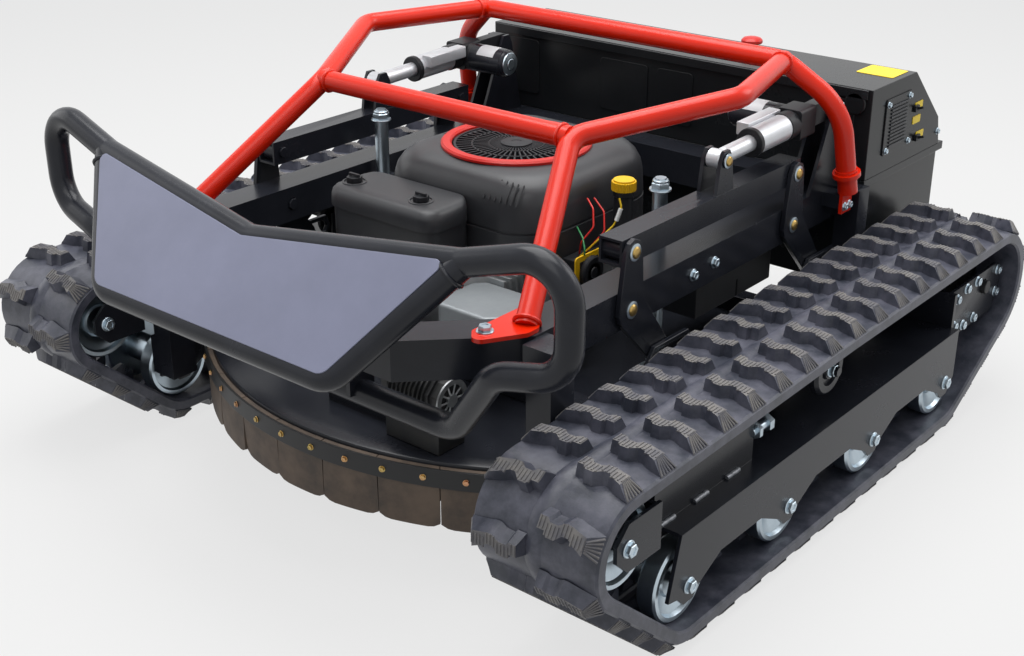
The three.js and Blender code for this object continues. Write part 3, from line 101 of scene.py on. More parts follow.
floor_reach = 40
floor_mesh = bpy.data.meshes.new("floor")
corners = [(x * floor_reach, y * floor_reach, 0) for x, y in ((-1, -1), (1, -1), (1, 1), (-1, 1))]
floor_mesh.from_pydata(corners, [], [(0, 1, 2, 3)])
floor = bpy.data.objects.new("floor", floor_mesh)
scene.collection.objects.link(floor)
floor_paper = bpy.data.materials.new("studio_paper")
floor_paper.use_nodes = True
floor_tree = floor_paper.node_tree
floor_tree.nodes.clear()
floor_shade = add(floor_tree, "ShaderNodeBsdfDiffuse", {"Color": linear("b9b9b7")})
floor_glow = add(floor_tree, "ShaderNodeEmission", {"Color": linear("ffffff"), "Strength": 1.0})
glow_share = add(floor_tree, "ShaderNodeMath", {0: seen_directly(floor_tree), 1: 0.72}, operation="MULTIPLY")
floor_mix = add(floor_tree, "ShaderNodeMixShader", {
    0: glow_share.outputs[0], 1: floor_shade.outputs[0], 2: floor_glow.outputs[0]})
add(floor_tree, "ShaderNodeOutputMaterial", {"Surface": floor_mix.outputs[0]})
floor_mesh.materials.append(floor_paper)

# Each lamp: place and width in metres, watts
lamps = (("key", (1.0, -2.2, 3.3), 2.2, 26), ("overhead", (-0.3, 0.2, 3.2), 2.8, 120),
         ("side", (-2.8, -1.2, 1.6), 1.8, 12), ("back", (1.8, 2.4, 2.4), 1.8, 30))
lamps_look_at = Vector((0, 0, 0.3))
for name, place, width, watts in lamps:
    lamp_data = bpy.data.lights.new(name, "AREA")
    lamp_data.size = width
    lamp_data.energy = watts
    lamp = bpy.data.objects.new(name, lamp_data)
    lamp.location = place
    lamp.rotation_euler = (lamps_look_at - Vector(place)).to_track_quat("-Z", "Y").to_euler()
    scene.collection.objects.link(lamp)


def surface(name, colour, other, patch_mm, roughness, spread=0.06, grain_mm=1.0, grain_depth_mm=0.05,
            metallic=0.0, veins=0.5, specular=0.4):
    """A finish. Its colour drifts to another in patches, and its relief has a fine grain."""
    material = bpy.data.materials.new(name)
    material.use_nodes = True
    tree = material.node_tree
    tree.nodes.clear()
    place = add(tree, "ShaderNodeTexCoord").outputs["Object"]
    patches = add(tree, "ShaderNodeTexNoise", {
        "Vector": place, "Scale": 1 / (patch_mm * mm), "Detail": 6.0, "Roughness": 0.62})
    drift = add(tree, "ShaderNodeMapRange", {
        "Value": patches.outputs["Fac"], "From Min": 0.38, "From Max": 0.66, "To Max": veins})
    colours = add(tree, "ShaderNodeMix", {0: drift.outputs[0], 6: linear(colour), 7: linear(other)},
                  data_type="RGBA")
    grain = add(tree, "ShaderNodeTexNoise", {"Vector": place, "Scale": 1 / (grain_mm * mm), "Detail": 3.0})
    gloss = add(tree, "ShaderNodeMapRange", {
        "Value": patches.outputs["Fac"], "To Min": roughness - spread, "To Max": roughness + spread})
    relief = add(tree, "ShaderNodeBump", {
        "Height": grain.outputs["Fac"], "Strength": 0.6, "Distance": grain_depth_mm * mm})
    shader = add(tree, "ShaderNodeBsdfPrincipled", {
        "Base Color": colours.outputs[2], "Roughness": gloss.outputs[0], "Normal": relief.outputs[0],
        "Metallic": metallic, "Specular IOR Level": 0.5 if metallic else specular})
    add(tree, "ShaderNodeOutputMaterial", {"Surface": shader.outputs[0]})
    return material


# Moulded track rubber: blue black with paler bloomed patches and a slightly rough skin
track_rubber = surface("moulded_track_rubber", "363943", "5a5b66",
                       38, 0.38, 0.12, 2.2, 0.3, veins=1.0)
# The same rubber on the lugs' crests: paler, browner and duller, for dust and for a painted highlight on the
# crests
dusty_highlit_rubber = surface("dusty_and_highlit_tread_rubber", "75726f", "55555b",
                         30, 0.5, 0.1, 1.8, 0.3, veins=1.0)


def show(name, mesh):
    """Links a mesh as an object at the origin."""
    thing = bpy.data.objects.new(name, mesh)
    scene.collection.objects.link(thing)
    return thing


def finished(name, shape, material, sharp=32):
    """An object of a bmesh made in place, with its faces outwards and its soft edges smooth."""
    bmesh.ops.recalc_face_normals(shape, faces=shape.faces)
    mesh = bpy.data.meshes.new(name)
    shape.to_mesh(mesh)
    shape.free()
    mesh.materials.append(material)
    mesh.polygons.foreach_set("use_smooth", [True] * len(mesh.polygons))
    mesh.set_sharp_from_angle(angle=math.radians(sharp))
    return show(name, mesh)


def piece(name, shape, material, body, *nodes, sharp=32, rounding=0, unit=mm, slot=None):
    """A finished piece on its body, which stands for the CAD nodes named."""
    bmesh.ops.scale(shape, vec=(unit, unit, unit), verts=shape.verts)
    thing = finished(name, shape, material, sharp)
    if rounding:
        edges = thing.modifiers.new("rounded_edges", "BEVEL")
        edges.width = rounding * mm
        edges.segments = 2
        edges.limit_method = "ANGLE"
        edges.angle_limit = math.radians(sharp)
        edges.harden_normals = True
    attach(thing, body)
    if nodes:
        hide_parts(*nodes)
    return thing


def loft(shape, rings, closed=False):
    """Adds faces between rings of places. The ends are capped, unless the rings close on themselves."""
    rows = [[shape.verts.new(place) for place in ring] for ring in rings]
    for row, after in zip(rows, rows[1:] + rows[:1] if closed else rows[1:]):
        for i in range(len(row)):
            j = (i + 1) % len(row)
            shape.faces.new((row[i], row[j], after[j], after[i]))
    if not closed:
        shape.faces.new(rows[0])
        shape.faces.new(rows[-1])


def box(node):
    """The lowest and the highest corner of a CAD node, in mm."""
    return [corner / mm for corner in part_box(node)]


def axis_of(node):
    """The x and y of the upright axis of a CAD node."""
    low, high = box(node)
    return (low[0] + high[0]) / 2, (low[1] + high[1]) / 2


def wheel_circle(node, gap=0.0):
    """Middle y and z and the radius of a wheel, grown by a gap."""
    low, high = box(node)
    return (low[1] + high[1]) / 2, (low[2] + high[2]) / 2, (high[2] - low[2]) / 2 + gap


belt_low, belt_high = box("track_belt_right")
belt_x = (belt_low[0] + belt_high[0]) / 2
belt_gap = 1.2
sprocket_wrap = 83
neutral_depth = 8.7
belt_links = 39
sprocket_y, sprocket_z, sprocket_tip = wheel_circle("drive_sprocket_right")
belt_wheels = ("track_roller_1_right", "track_roller_4_right", "carrier_roller_right", "idler_wheel_right")
belt_circles = [wheel_circle(node, belt_gap) for node in belt_wheels]
belt_circles.insert(2, (sprocket_y, sprocket_z, sprocket_wrap))
leaving = []
for (y, z, r), (next_y, next_z, next_r) in zip(belt_circles, belt_circles[1:] + belt_circles[:1]):
    heading = math.atan2(next_z - z, next_y - y)
    leaving.append(heading - math.pi / 2 + math.asin((r - next_r) / math.hypot(next_y - y, next_z - z)))
# Runs of the loop: centre, radius, first normal, turn, length on the neutral line, straight or not
belt_runs = []
for i, (y, z, r) in enumerate(belt_circles):
    next_y, next_z, next_r = belt_circles[(i + 1) % len(belt_circles)]
    turn = (leaving[i] - leaving[i - 1]) % (2 * math.pi)
    belt_runs.append((y, z, r, leaving[i - 1], turn, turn * (r + neutral_depth)))
    spread = math.hypot(next_y - y, next_z - z)
    belt_runs.append((y, z, r, leaving[i], 0, math.sqrt(spread ** 2 - (r - next_r) ** 2)))
belt_length = sum(run[5] for run in belt_runs)
link_pitch = belt_length / belt_links


def on_belt(distance):
    """The y and z of the belt's inner face and the angle of its normal, at a distance round the loop."""
    rest = distance % belt_length
    for y, z, r, normal, turn, length in belt_runs:
        if rest <= length:
            angle = normal + turn * rest / length
            ahead = 0 if turn else rest
            return (y + r * math.cos(angle) - ahead * math.sin(angle),
                    z + r * math.sin(angle) + ahead * math.cos(angle), angle)
        rest -= length
    return on_belt(0)


def repeat_tree():
    """Geometry nodes: an item on each point, turned and stretched by the points' own values."""
    tree = bpy.data.node_groups.new("repeat_on_points", "GeometryNodeTree")
    for name, kind in (("Points", "Geometry"), ("Item", "Object"), ("Finish", "Material")):
        tree.interface.new_socket(name, in_out="INPUT", socket_type="NodeSocket" + kind)
    tree.interface.new_socket("Result", in_out="OUTPUT", socket_type="NodeSocketGeometry")
    source = add(tree, "NodeGroupInput")
    turn = add(tree, "GeometryNodeInputNamedAttribute", {"Name": "turn"}, data_type="FLOAT_VECTOR")
    stretch = add(tree, "GeometryNodeInputNamedAttribute", {"Name": "stretch"}, data_type="FLOAT_VECTOR")
    item = add(tree, "GeometryNodeObjectInfo", {"Object": source.outputs["Item"]})
    spin = add(tree, "FunctionNodeEulerToRotation", {"Euler": turn.outputs["Attribute"]})
    copies = add(tree, "GeometryNodeInstanceOnPoints", {
        "Points": source.outputs["Points"], "Instance": item.outputs["Geometry"],
        "Rotation": spin.outputs["Rotation"], "Scale": stretch.outputs["Attribute"]})
    real = add(tree, "GeometryNodeRealizeInstances", {"Geometry": copies.outputs["Instances"]})
    dressed = add(tree, "GeometryNodeSetMaterial", {
        "Geometry": real.outputs["Geometry"], "Material": source.outputs["Finish"]})
    add(tree, "NodeGroupOutput", {"Result": dressed.outputs["Geometry"]})
    return tree


repeat_on_points = repeat_tree()


def repeated(item, places, material):
    """A bmesh of the item at each place, given as location, turn and stretch. The item's bmesh is used up."""
    stamp = finished("repeated_item", item, material)
    points = bpy.data.meshes.new("places")
    points.from_pydata([place[0] for place in places], [], [])
    for name, column in (("turn", 1), ("stretch", 2)):
        values = points.attributes.new(name, "FLOAT_VECTOR", "POINT").data
        values.foreach_set("vector", [value for place in places for value in place[column]])
    carrier = show("places", points)
    maker = carrier.modifiers.new("repeat", "NODES")
    maker.node_group = repeat_on_points
    sockets = {socket.name: socket.identifier for socket in repeat_on_points.interface.items_tree}
    maker[sockets["Item"]] = stamp
    maker[sockets["Finish"]] = material
    mesh = bpy.data.meshes.new_from_object(carrier.evaluated_get(bpy.context.evaluated_depsgraph_get()))
    carrier.modifiers.remove(maker)
    bpy.data.objects.remove(carrier)
    bpy.data.objects.remove(stamp)
    shape = bmesh.new()
    shape.from_mesh(mesh)
    return shape


def joined(*shapes):
    """One bmesh of several."""
    whole = bmesh.new()
    for shape in shapes:
        part = bpy.data.meshes.new("part")
        shape.to_mesh(part)
        shape.free()
        whole.from_mesh(part)
        bpy.data.meshes.remove(part)
    return whole


# Carcass section as (across, height over the inner face), with the sprocket groove and a raised middle
carcass_section = [(-98, 3), (-95, 0), (-19, 0), (-16, 3), (-15, 13), (15, 13), (16, 3), (19, 0), (95, 0),
                   (98, 3), (98, 17), (95, 20), (13, 20), (9, 22), (3, 23.5), (-3, 23.5), (-9, 22), (-13, 20),
                   (-95, 20), (-98, 17)]
stations_per_link = 6
# A lug from above as (outwards, along): its steep side in zigzag first, then its sloping back
lug_top = [(12, -6), (24, -6), (28, -13), (40, -13), (50, -4), (58, -4), (70, -11), (83, -17),
           (83, 6), (70, 9), (58, 12), (50, 12), (40, 6), (28, 6), (24, 11), (12, 11)]
lug_foot = [(10, -9), (25, -9), (27, -16), (41, -16), (51, -7), (58, -7), (71, -14), (97, -21),
            (97, 14), (70, 19), (58, 22), (50, 22), (40, 17), (28, 17), (24, 21), (10, 21)]
lug_reach = 40
lug_crest = 38
lug_sink = 19
crown_sink = 0.4
rib_width = 3.2
rib_height = 1.8


def rib(shape, start, end, width, height):
    """Adds a thin ridge from one place to another, with its crest a height above them."""
    start, end = Vector(start), Vector(end)
    aside = (end - start).cross(Vector((0, 0, 1))).normalized() * width / 2
    lift = Vector((0, 0, height))
    loft(shape, [(place - aside, place + aside, place + aside * 0.5 + lift, place - aside * 0.5 + lift)
                 for place in (start, end)])


def lug():
    """One lug, its foot sunk in the carcass."""
    shape = bmesh.new()
    loft(shape, [[(x, y, height) for x, y in outline]
                 for outline, height in ((lug_foot, lug_sink), (lug_top, lug_crest))])
    return shape


def lug_crown():
    """A lug's crest, paler with dust and a painted highlight, with ribs along the track and a fan of them
    down its outer end.
    """
    shape = bmesh.new()
    seat = lug_crest - crown_sink
    loft(shape, [[(x, y, height) for x, y in lug_top] for height in (seat, lug_crest + 0.3)])
    for i in range(13):
        x = 14 + i * 5.6
        front = -4 if x < 25 or 43 < x < 64 else -11
        rib(shape, (x, front, seat), (x, front + 15, seat), rib_width, lug_reach - lug_crest)
    for i in range(6):
        spread = i - 2.5
        rib(shape, (84, spread * 2.6 - 5, lug_crest - 1.5),
            (97, spread * 6 - 4, lug_sink + 1.2), rib_width, rib_height)
    return shape


def horn():
    """One guide horn inside the belt."""
    shape = bmesh.new()
    rings = []
    for inner, outer, along, height in ((22, 34, 14, 2), (23.5, 32.5, 7, -11), (25, 31, 3, -17)):
        rings.append([(inner, -along, height), (outer, -along, height),
                      (outer, along, height), (inner, along, height)])
    loft(shape, rings)
    return shape


for side_name, side in SIDES:
    carcass = bmesh.new()
    stations = belt_links * stations_per_link
    rings = []
    for i in range(stations):
        y, z, normal = on_belt(belt_length * i / stations)
        rings.append([(side * belt_x + across, y + height * math.cos(normal), z + height * math.sin(normal))
                      for across, height in carcass_section])
    loft(carcass, rings, closed=True)
    lug_places = []
    horn_places = []
    for link in range(belt_links):
        for outwards in (1, -1):
            # On the right track the outer row leads, and the left track is its mirror image
            phase = 0 if outwards > 0 else 0.5
            y, z, normal = on_belt((link + phase) * link_pitch)
            turn = (normal - math.pi / 2, 0, 0)
            lug_places.append(((side * belt_x, y, z), turn, (side * outwards, 1, 1)))
            y, z, normal = on_belt(link * link_pitch)
            turn = (normal - math.pi / 2, 0, 0)
            horn_places.append(((side * belt_x, y, z), turn, (outwards, 1, 1)))
    tread = repeated(lug(), lug_places, track_rubber)
    # The crests' paler rubber is dust and a painted highlight
    crowns = repeated(lug_crown(), lug_places, dusty_highlit_rubber)
    horns = repeated(horn(), horn_places, track_rubber)
    piece(f"tread_crowns_{side_name}", crowns, dusty_highlit_rubber, "root", sharp=24)
    piece(f"rubber_track_{side_name}", joined(carcass, tread, horns), track_rubber, "root",
          f"track_belt_{side_name}", sharp=24)


# Track wheels: pressed steel, zinc plated. Each has two rims with the horns between them, a dished face,
# a hub with a turned cap and the end of its axle, held by a flange bolt.
def turned(shape, profile, centre=(0, 0, 0), axis="x", steps=40):
    """Adds a turned body. Its profile of (radius, place along the axis) ends on the axis or closes."""
    order = {"x": (0, 1, 2), "y": (1, 2, 0), "z": (2, 0, 1)}[axis]
    rows = []
    for radius, along in profile:
        ring = []
        for i in range(steps if radius > 0 else 1):
            angle = 2 * math.pi * i / steps
            place = list(centre)
            place[order[0]] += along
            place[order[1]] += radius * math.cos(angle)
            place[order[2]] += radius * math.sin(angle)
            ring.append(shape.verts.new(place))
        rows.append(ring)
    pairs = list(zip(rows, rows[1:]))
    if profile[0][0] > 0:
        pairs.append((rows[-1], rows[0]))
    for row, after in pairs:
        for i in range(steps):
            j = (i + 1) % steps
            quad = [row[i % len(row)], row[j % len(row)], after[j % len(after)], after[i % len(after)]]
            shape.faces.new([corner for k, corner in enumerate(quad) if corner is not quad[k - 1]])


# Zinc plating: bright with a faint blue cast, and cloudy where it was handled
zinc_plate = surface("blue_zinc_plate", "b9c6cf", "9ba8b1", 40, 0.32, 0.05, 3, 0.02, metallic=1.0)
# Yellow zinc: the same plating, chromated to a brassy tint that drifts to green and red
yellow_zinc = surface("yellow_zinc_plate", "b89a5c", "8a7448", 12, 0.3, 0.08, 2, 0.03, metallic=1.0)
# Weld bead under a thin coat: dull grey, rippled
weld_steel = surface("thinly_painted_weld", "9a9da2", "5d6064",
                     9, 0.45, 0.1, 2.5, 0.4, metallic=0.5)
# Powder coat: satin black with a soft orange peel
powder_black = surface("satin_black_powder_coat", "1e2026", "2a2c33",
                       90, 0.26, 0.05, 2.4, 0.04, specular=0.26)
# Dark phosphated casting: dull, with the sand's grain
dark_casting = surface("phosphated_casting", "232426", "33322f",
                       18, 0.5, 0.08, 1.6, 0.25, metallic=0.3)

rim_half = 74
rim_inner = 44
dish_face = 60
axle_bore = 8.4


def mirrored(half):
    """A whole profile from the half of it that has the places above zero along the axis."""
    return [(r, -t) for r, t in reversed(half)] + half


def dished_wheel(radius, hub=25, edge=3):
    """Profile of a wheel with rounded rims: from the hub tube out, over the rim and in to the axle."""
    return mirrored([
        (hub, rim_inner), (radius - edge, rim_inner), (radius, rim_inner + edge), (radius, rim_half - edge),
        (radius - edge, rim_half), (radius - 3 * edge, rim_half), (radius - 4 * edge, rim_half - 2 * edge),
        (hub + edge, dish_face), (hub, dish_face + edge), (hub - 2 * edge, dish_face + edge),
        (10, dish_face + edge), (axle_bore, dish_face)])


def drum(radius):
    """Profile of a carrier roller: a smooth drum with a groove in each end."""
    return mirrored([
        (13, rim_inner), (radius - 2, rim_inner), (radius, rim_inner + 3), (radius, dish_face - 5),
        (radius - 5, dish_face), (26, dish_face), (24, dish_face - 5), (17, dish_face - 5), (15, dish_face),
        (axle_bore, dish_face)])


wheels = [(f"track_roller_{i}", f"dished_track_roller_{i}", dished_wheel, zinc_plate) for i in range(1, 5)]
wheels += [("idler_wheel", "dished_idler_wheel", dished_wheel, zinc_plate),
           ("carrier_roller", "carrier_drum", drum, powder_black)]
for side_name, side in SIDES:
    for wheel, name, profile, material in wheels:
        node = f"{wheel}_{side_name}"
        y, z, radius = wheel_circle(node)
        shape = bmesh.new()
        turned(shape, profile(radius), (side * belt_x, y, z))
        piece(f"{name}_{side_name}", shape, material, node, node)


def softened(node, material, body, rounding):
    """A copy of a CAD node with its edges rounded, which stands for the node."""
    shape = bmesh.new()
    shape.from_mesh(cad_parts[node].data)
    bmesh.ops.remove_doubles(shape, verts=shape.verts, dist=0.01 * mm)
    bmesh.ops.dissolve_limit(shape, angle_limit=math.radians(1), verts=shape.verts, edges=shape.edges)
    return piece(f"{node}_body", shape, material, body, node, sharp=30, rounding=rounding, unit=1)


# Drive sprockets: cast steel with eight teeth, on the motors' keyed shafts. The motors are cast iron with
# a square flange, and bolt to the inner plates.
for side_name, side in SIDES:
    softened(f"drive_sprocket_{side_name}", dark_casting, f"drive_sprocket_{side_name}", 1.6)
    softened(f"drive_motor_{side_name}", dark_casting, "root", 1.5)


# Track frames and idler forks: folded and welded steel plate under satin black powder coat, with zinc
# flange bolts at the axles, on the tensioner's cap and round the motor plates.
def hex_bolt():
    """A flange bolt with its seat at z = 0. Its head measures 1 from the middle to a corner."""
    shape = bmesh.new()
    flange = [(0, -0.3), (0.62, -0.3), (0.62, 0), (1.28, 0), (1.3, 0.12), (1.22, 0.22), (0, 0.26)]
    turned(shape, flange, axis="z", steps=20)
    head = [(0, 0.1), (1, 0.1), (1, 0.82), (0.9, 0.92), (0.55, 0.92), (0.5, 0.8), (0, 0.8)]
    turned(shape, head, axis="z", steps=6)
    return shape


def aimed(places):
    """Rows for repeated(), from places given as (x, y, z, way the head looks, size)."""
    return [((x, y, z), tuple(Vector(way).to_track_quat("Z", "Y").to_euler()), (size, size, size))
            for x, y, z, way, size in places]


def flange_bolts(name, places, body, material=zinc_plate):
    """Bolts at places given as for aimed(), in one piece. The size is the head's radius at its corners."""
    piece(name, repeated(hex_bolt(), aimed(places), material), material, body, sharp=28)


def tube(shape, path, radius, sides=24, closed=False):
    """Adds a round tube along places, its section carried without twist."""
    count = len(path)
    rings = []
    across = None
    for i, place in enumerate(path):
        before = path[i - 1] if i or closed else place
        after = path[(i + 1) % count] if i < count - 1 or closed else place
        along = (after - before).normalized()
        if across is None:
            across = along.orthogonal().normalized()
        across = (across - along * across.dot(along)).normalized()
        other = along.cross(across)
        rings.append([place + radius * (across * math.cos(a) + other * math.sin(a))
                      for a in (2 * math.pi * k / sides for k in range(sides))])
    loft(shape, rings, closed)


m8_head = 7.5
m10_head = 9.5
m12_head = 11
motor_bolts = ((424, 182), (424, 232), (462, 172), (462, 240), (592, 194), (592, 236), (505, 172), (505, 240))
for side_name, side in SIDES:
    softened(f"track_frame_{side_name}", powder_black, "root", 1.2)
    softened(f"idler_fork_{side_name}", powder_black, f"idler_fork_{side_name}", 1.2)
    low, high = box(f"track_frame_{side_name}")
    outer, inner = (high[0], low[0]) if side > 0 else (low[0], high[0])
    places = []
    for i in range(1, 5):
        y, z, _ = wheel_circle(f"track_roller_{i}_{side_name}")
        places.append((outer, y, z, (side, 0, 0), m10_head))
        places.append((inner, y, z, (-side, 0, 0), m10_head))
    motor_plate = side * (belt_x + 68)
    for y, z in motor_bolts:
        places.append((motor_plate, y, z, (side, 0, 0), m8_head))
    y, z, _ = wheel_circle(f"carrier_roller_{side_name}")
    places.append((side * (belt_x + dish_face), y, z, (side, 0, 0), m10_head))
    flange_bolts(f"track_frame_bolts_{side_name}", places, "root")
    y, z, _ = wheel_circle(f"idler_wheel_{side_name}")
    fork = f"idler_fork_{side_name}"
    low, high = box(fork)
    outer, inner = (high[0], low[0]) if side > 0 else (low[0], high[0])
    places = [(outer, y, z, (side, 0, 0), m10_head), (inner, y, z, (-side, 0, 0), m10_head)]
    flange_bolts(f"idler_bolts_{side_name}", places, fork)
    # Stitch welds along the foot of the tensioner box
    stitches = bmesh.new()
    unsteady = random.Random(17)
    box_side = side * (belt_x + 53.5)
    for middle in (-425, -345, -265):
        tube(stitches, [Vector((box_side, middle + k * 3.2, 191 + unsteady.uniform(-0.7, 0.7)))
                        for k in range(-5, 6)], 4, 8)
    piece(f"stitch_welds_{side_name}", stitches, weld_steel, "root", sharp=60)
    # The tensioner's adjusting screw, with its lock nut and its hexagon end, behind the box
    screw = bmesh.new()
    screw_at = (side * (belt_x + 50), -210, 234)
    turned(screw, [(0, -6), (7, -6), (7, 40), (0, 40)], screw_at, "y", 20)
    turned(screw, [(0, 1), (13, 1), (13, 9), (12, 10), (0, 10)], screw_at, "y", 6)
    turned(screw, [(0, 30), (12, 30), (13, 31), (13, 40), (11, 42), (0, 42)], screw_at, "y", 6)
    piece(f"tension_screw_{side_name}", screw, zinc_plate, "root")


# Chassis: welded box beams, mitred to the front cross tube, satin black. The towers, legs and bushes are
# welded on, and the beams' plates are held by zinc bolts.
softened("chassis_frame", powder_black, "root", 2.2)
beam_outer = 380
for side_name, side in SIDES:
    flange_bolts(f"beam_bolts_{side_name}", [(side * beam_outer, y, z, (side, 0, 0), m8_head)
                                             for y, z in ((-76, 378), (-18, 381))], "root")


# Roll bar: bent steel tube, welded and painted gloss red. Its feet bolt to the mitred corners and its rear
# legs stand in collars on tabs beside the beams.
def bent_path(corners, bends, step_mm=8):
    """Places along a line through the corners, each rounded by one bend radius or by its own."""
    at = [Vector(corner) for corner in corners]
    places = [at[0]]
    if not isinstance(bends, list):
        bends = [bends] * (len(at) - 2)
    for before, here, after, bend in zip(at, at[1:], at[2:], bends):
        back = (before - here).normalized()
        ahead = (after - here).normalized()
        half = back.angle(ahead) / 2
        centre = here + (back + ahead).normalized() * bend / math.sin(half)
        spoke = here + back * bend / math.tan(half) - centre
        pole = back.cross(spoke).normalized()
        sweep = math.pi - 2 * half
        steps = max(3, round(sweep * bend / step_mm))
        for i in range(steps + 1):
            places.append(centre + Matrix.Rotation(sweep * i / steps, 3, pole) @ spoke)
    return places + [at[-1]]


def bead(shape, centre, way, radius, thickness, seed):
    """Adds a weld bead: an uneven ring round a tube."""
    unsteady = random.Random(seed)
    way = way.normalized()
    across = way.orthogonal().normalized()
    other = way.cross(across)
    count = 56
    path = []
    for i in range(count):
        angle = 2 * math.pi * i / count
        reach = radius + unsteady.uniform(-0.12, 0.12) * thickness
        path.append(centre + reach * (across * math.cos(angle) + other * math.sin(angle)))
    tube(shape, path, thickness, 8, closed=True)


def slab(shape, outline, axis, start, end):
    """Adds a plate of an outline between two places along an axis."""
    order = {"x": (1, 2, 0), "y": (0, 2, 1), "z": (0, 1, 2)}[axis]
    rings = []
    for along in (start, end):
        ring = []
        for u, v in outline:
            place = [0.0, 0.0, 0.0]
            for at, value in zip(order, (u, v, along)):
                place[at] = value
            ring.append(place)
        rings.append(ring)
    loft(shape, rings)


def rounded_outline(corners, radii, steps=5):
    """A closed outline through the corners, each rounded by its own radius."""
    points = []
    for i, corner in enumerate(corners):
        here = Vector(corner)
        back = (Vector(corners[i - 1]) - here).normalized()
        ahead = (Vector(corners[(i + 1) % len(corners)]) - here).normalized()
        half = back.angle(ahead) / 2
        centre = here + (back + ahead).normalized() * radii[i] / math.sin(half)
        start = here + back * radii[i] / math.tan(half) - centre
        end = here + ahead * radii[i] / math.tan(half) - centre
        for k in range(steps + 1):
            spoke = start.lerp(end, k / steps).normalized() * radii[i]
            points.append(tuple(centre + spoke))
    return points


# Gloss red enamel: clear orange red, smooth, with a wet shine
gloss_red = surface("gloss_red_enamel", "d92404", "cb1b03",
                    120, 0.26, 0.04, 5, 0.04, specular=0.35)
beam_x, beam_top, mitre_y, beam_rear = 350, 410, -442, 398
roll_radius = 16.5
roll_foot = (beam_x + 4, mitre_y, beam_top + 2)
roll_junction = (beam_x - 96, mitre_y + 221, beam_top + 192)
roll_middle = (beam_x + 40, (mitre_y + beam_rear) / 2 + 36, beam_top + 225)
roll_corner = (beam_x - 32, beam_rear - 136, beam_top + 222)
roll_shoulder = (beam_x + 60, beam_rear - 98, beam_top + 150)
roll_rear = (beam_x + 70, beam_rear - 68, beam_top + 2)
# The foot plate's corners, as shares of its width and length from the foot
foot_shares = [(-0.12, 0.5), (0.4, 0.5), (0.9, 0), (0.9, -0.25), (0.25, -1), (-0.12, -0.7)]
foot_low, foot_high = beam_top + 0.3, beam_top + 6.3
tab_inner, tab_outer = 414, 420
m6_head = 6


def flipped(place, side=-1):
    """The place's mirror image on the left, or the place itself for side 1."""
    return Vector((side * place[0], *place[1:]))


roll = bmesh.new()
hoop = [roll_rear, roll_shoulder, roll_corner]
hoop_path = bent_path(hoop + [flipped(corner) for corner in reversed(hoop)], [120, 50, 50, 120])
tube(roll, hoop_path, roll_radius)
tube(roll, bent_path([flipped(roll_junction), roll_junction], 40), roll_radius)
for side in (1, -1):
    foot, junction, middle, corner = [flipped(place, side) for place in (
        roll_foot, roll_junction, roll_middle, roll_corner)]
    tube(roll, bent_path([foot, junction, middle, corner], 40), roll_radius)
    # A bead at the foot, one at the cross tube's end and one at the hoop's corner
    bead(roll, foot + (junction - foot) * 0.022, junction - foot, roll_radius + 1, 3, 3 + side)
    bead(roll, junction - Vector((side * 15, 0, 0)), Vector((1, 0, 0)), roll_radius + 0.5, 2.6, 7 + side)
    bead(roll, corner - (corner - middle) * 0.075, corner - middle, roll_radius + 0.5, 2.6, 11 + side)
    corners = [(side * (beam_x - 30 + 62 * u), mitre_y + 90 * v) for u, v in foot_shares]
    slab(roll, rounded_outline(corners, [8, 12, 16, 16, 12, 10]), "z", foot_low, foot_high)
    slab(roll, [(313.5, 376), (346.5, 376), (346.5, 430), (313.5, 430)], "x",
         *sorted((side * tab_inner, side * tab_outer)))
    leg = flipped(roll_shoulder, side) - flipped(roll_rear, side)
    collar = flipped(roll_rear, side) + leg * 0.2
    leg.normalize()
    tube(roll, [collar, collar + leg * 7], roll_radius + 7)
    tube(roll, [collar - leg * 5, collar + leg * 12], roll_radius + 2.5)
piece("red_roll_bar", roll, gloss_red, "root", "roll_bar")
places = []
for side in (1, -1):
    places.append((side * 328, -496, foot_high, (0, 0, 1), m10_head))
    places += [(side * tab_outer, y, 388, (side, 0, 0), m6_head) for y in (322, 338)]
flange_bolts("roll_bar_bolts", places, "root")


# Bumper: bent tube under satin black powder coat, with a loop at each side, and a slate grey plate of
# folded steel that is bare of words. The plate's grey is made paler as a painted reflection.
# Slate grey enamel, paler than its own grey: a painted reflection of the bright surround on the plate's
# upturned face
slate_and_reflection_paint = surface("slate_grey_enamel_with_painted_reflection", "81849a", "727588", 140, 0.36, 0.05, 3, 0.05)
bumper_radius = 19
front_cross = -560
lower_tube = (front_cross + 19, 283)
bumper_corners = [(313, *lower_tube), (410, front_cross - 13, 406), (517, front_cross, 428),
                  (517, front_cross, 590), (357, front_cross - 13, 544), (0, front_cross - 46, 500)]
under_corners = [(361, front_cross - 13, 544), (235, -692, 388)]
bumper = bmesh.new()
left_corners = [flipped(corner) for corner in reversed(bumper_corners[:-1])]
loop_corners = [(0, *lower_tube)] + bumper_corners + left_corners + [(0, *lower_tube)]
tube(bumper, bent_path(loop_corners, 55)[:-1], bumper_radius, closed=True)
under_path = bent_path(under_corners + [flipped(corner) for corner in reversed(under_corners)], 40)
tube(bumper, under_path, bumper_radius)
for side in (1, -1):
    top, foot = [flipped(corner, side) for corner in under_corners]
    bead(bumper, top - (top - foot) * 0.09, top - foot, bumper_radius + 0.6, 2.6, 20 + side)
    slab(bumper, [(-565, 283), (-517, 283), (-517, 349.7), (-565, 349.7)], "x",
         *sorted((side * 130, side * 138)))
piece("bumper_tubes", bumper, powder_black, "root", "bumper_frame")

# The plate lies on the tubes, with its edges on their crests and its back between them
plate_foot = Vector((0, -692, 388))
plate_rise = Vector((0, 119, 156))
plate_slope = plate_rise.normalized()
plate_normal = Vector((0, -156, 119)).normalized()
plate_height = plate_rise.length
notch_height = plate_height * (500 - 388) / 156


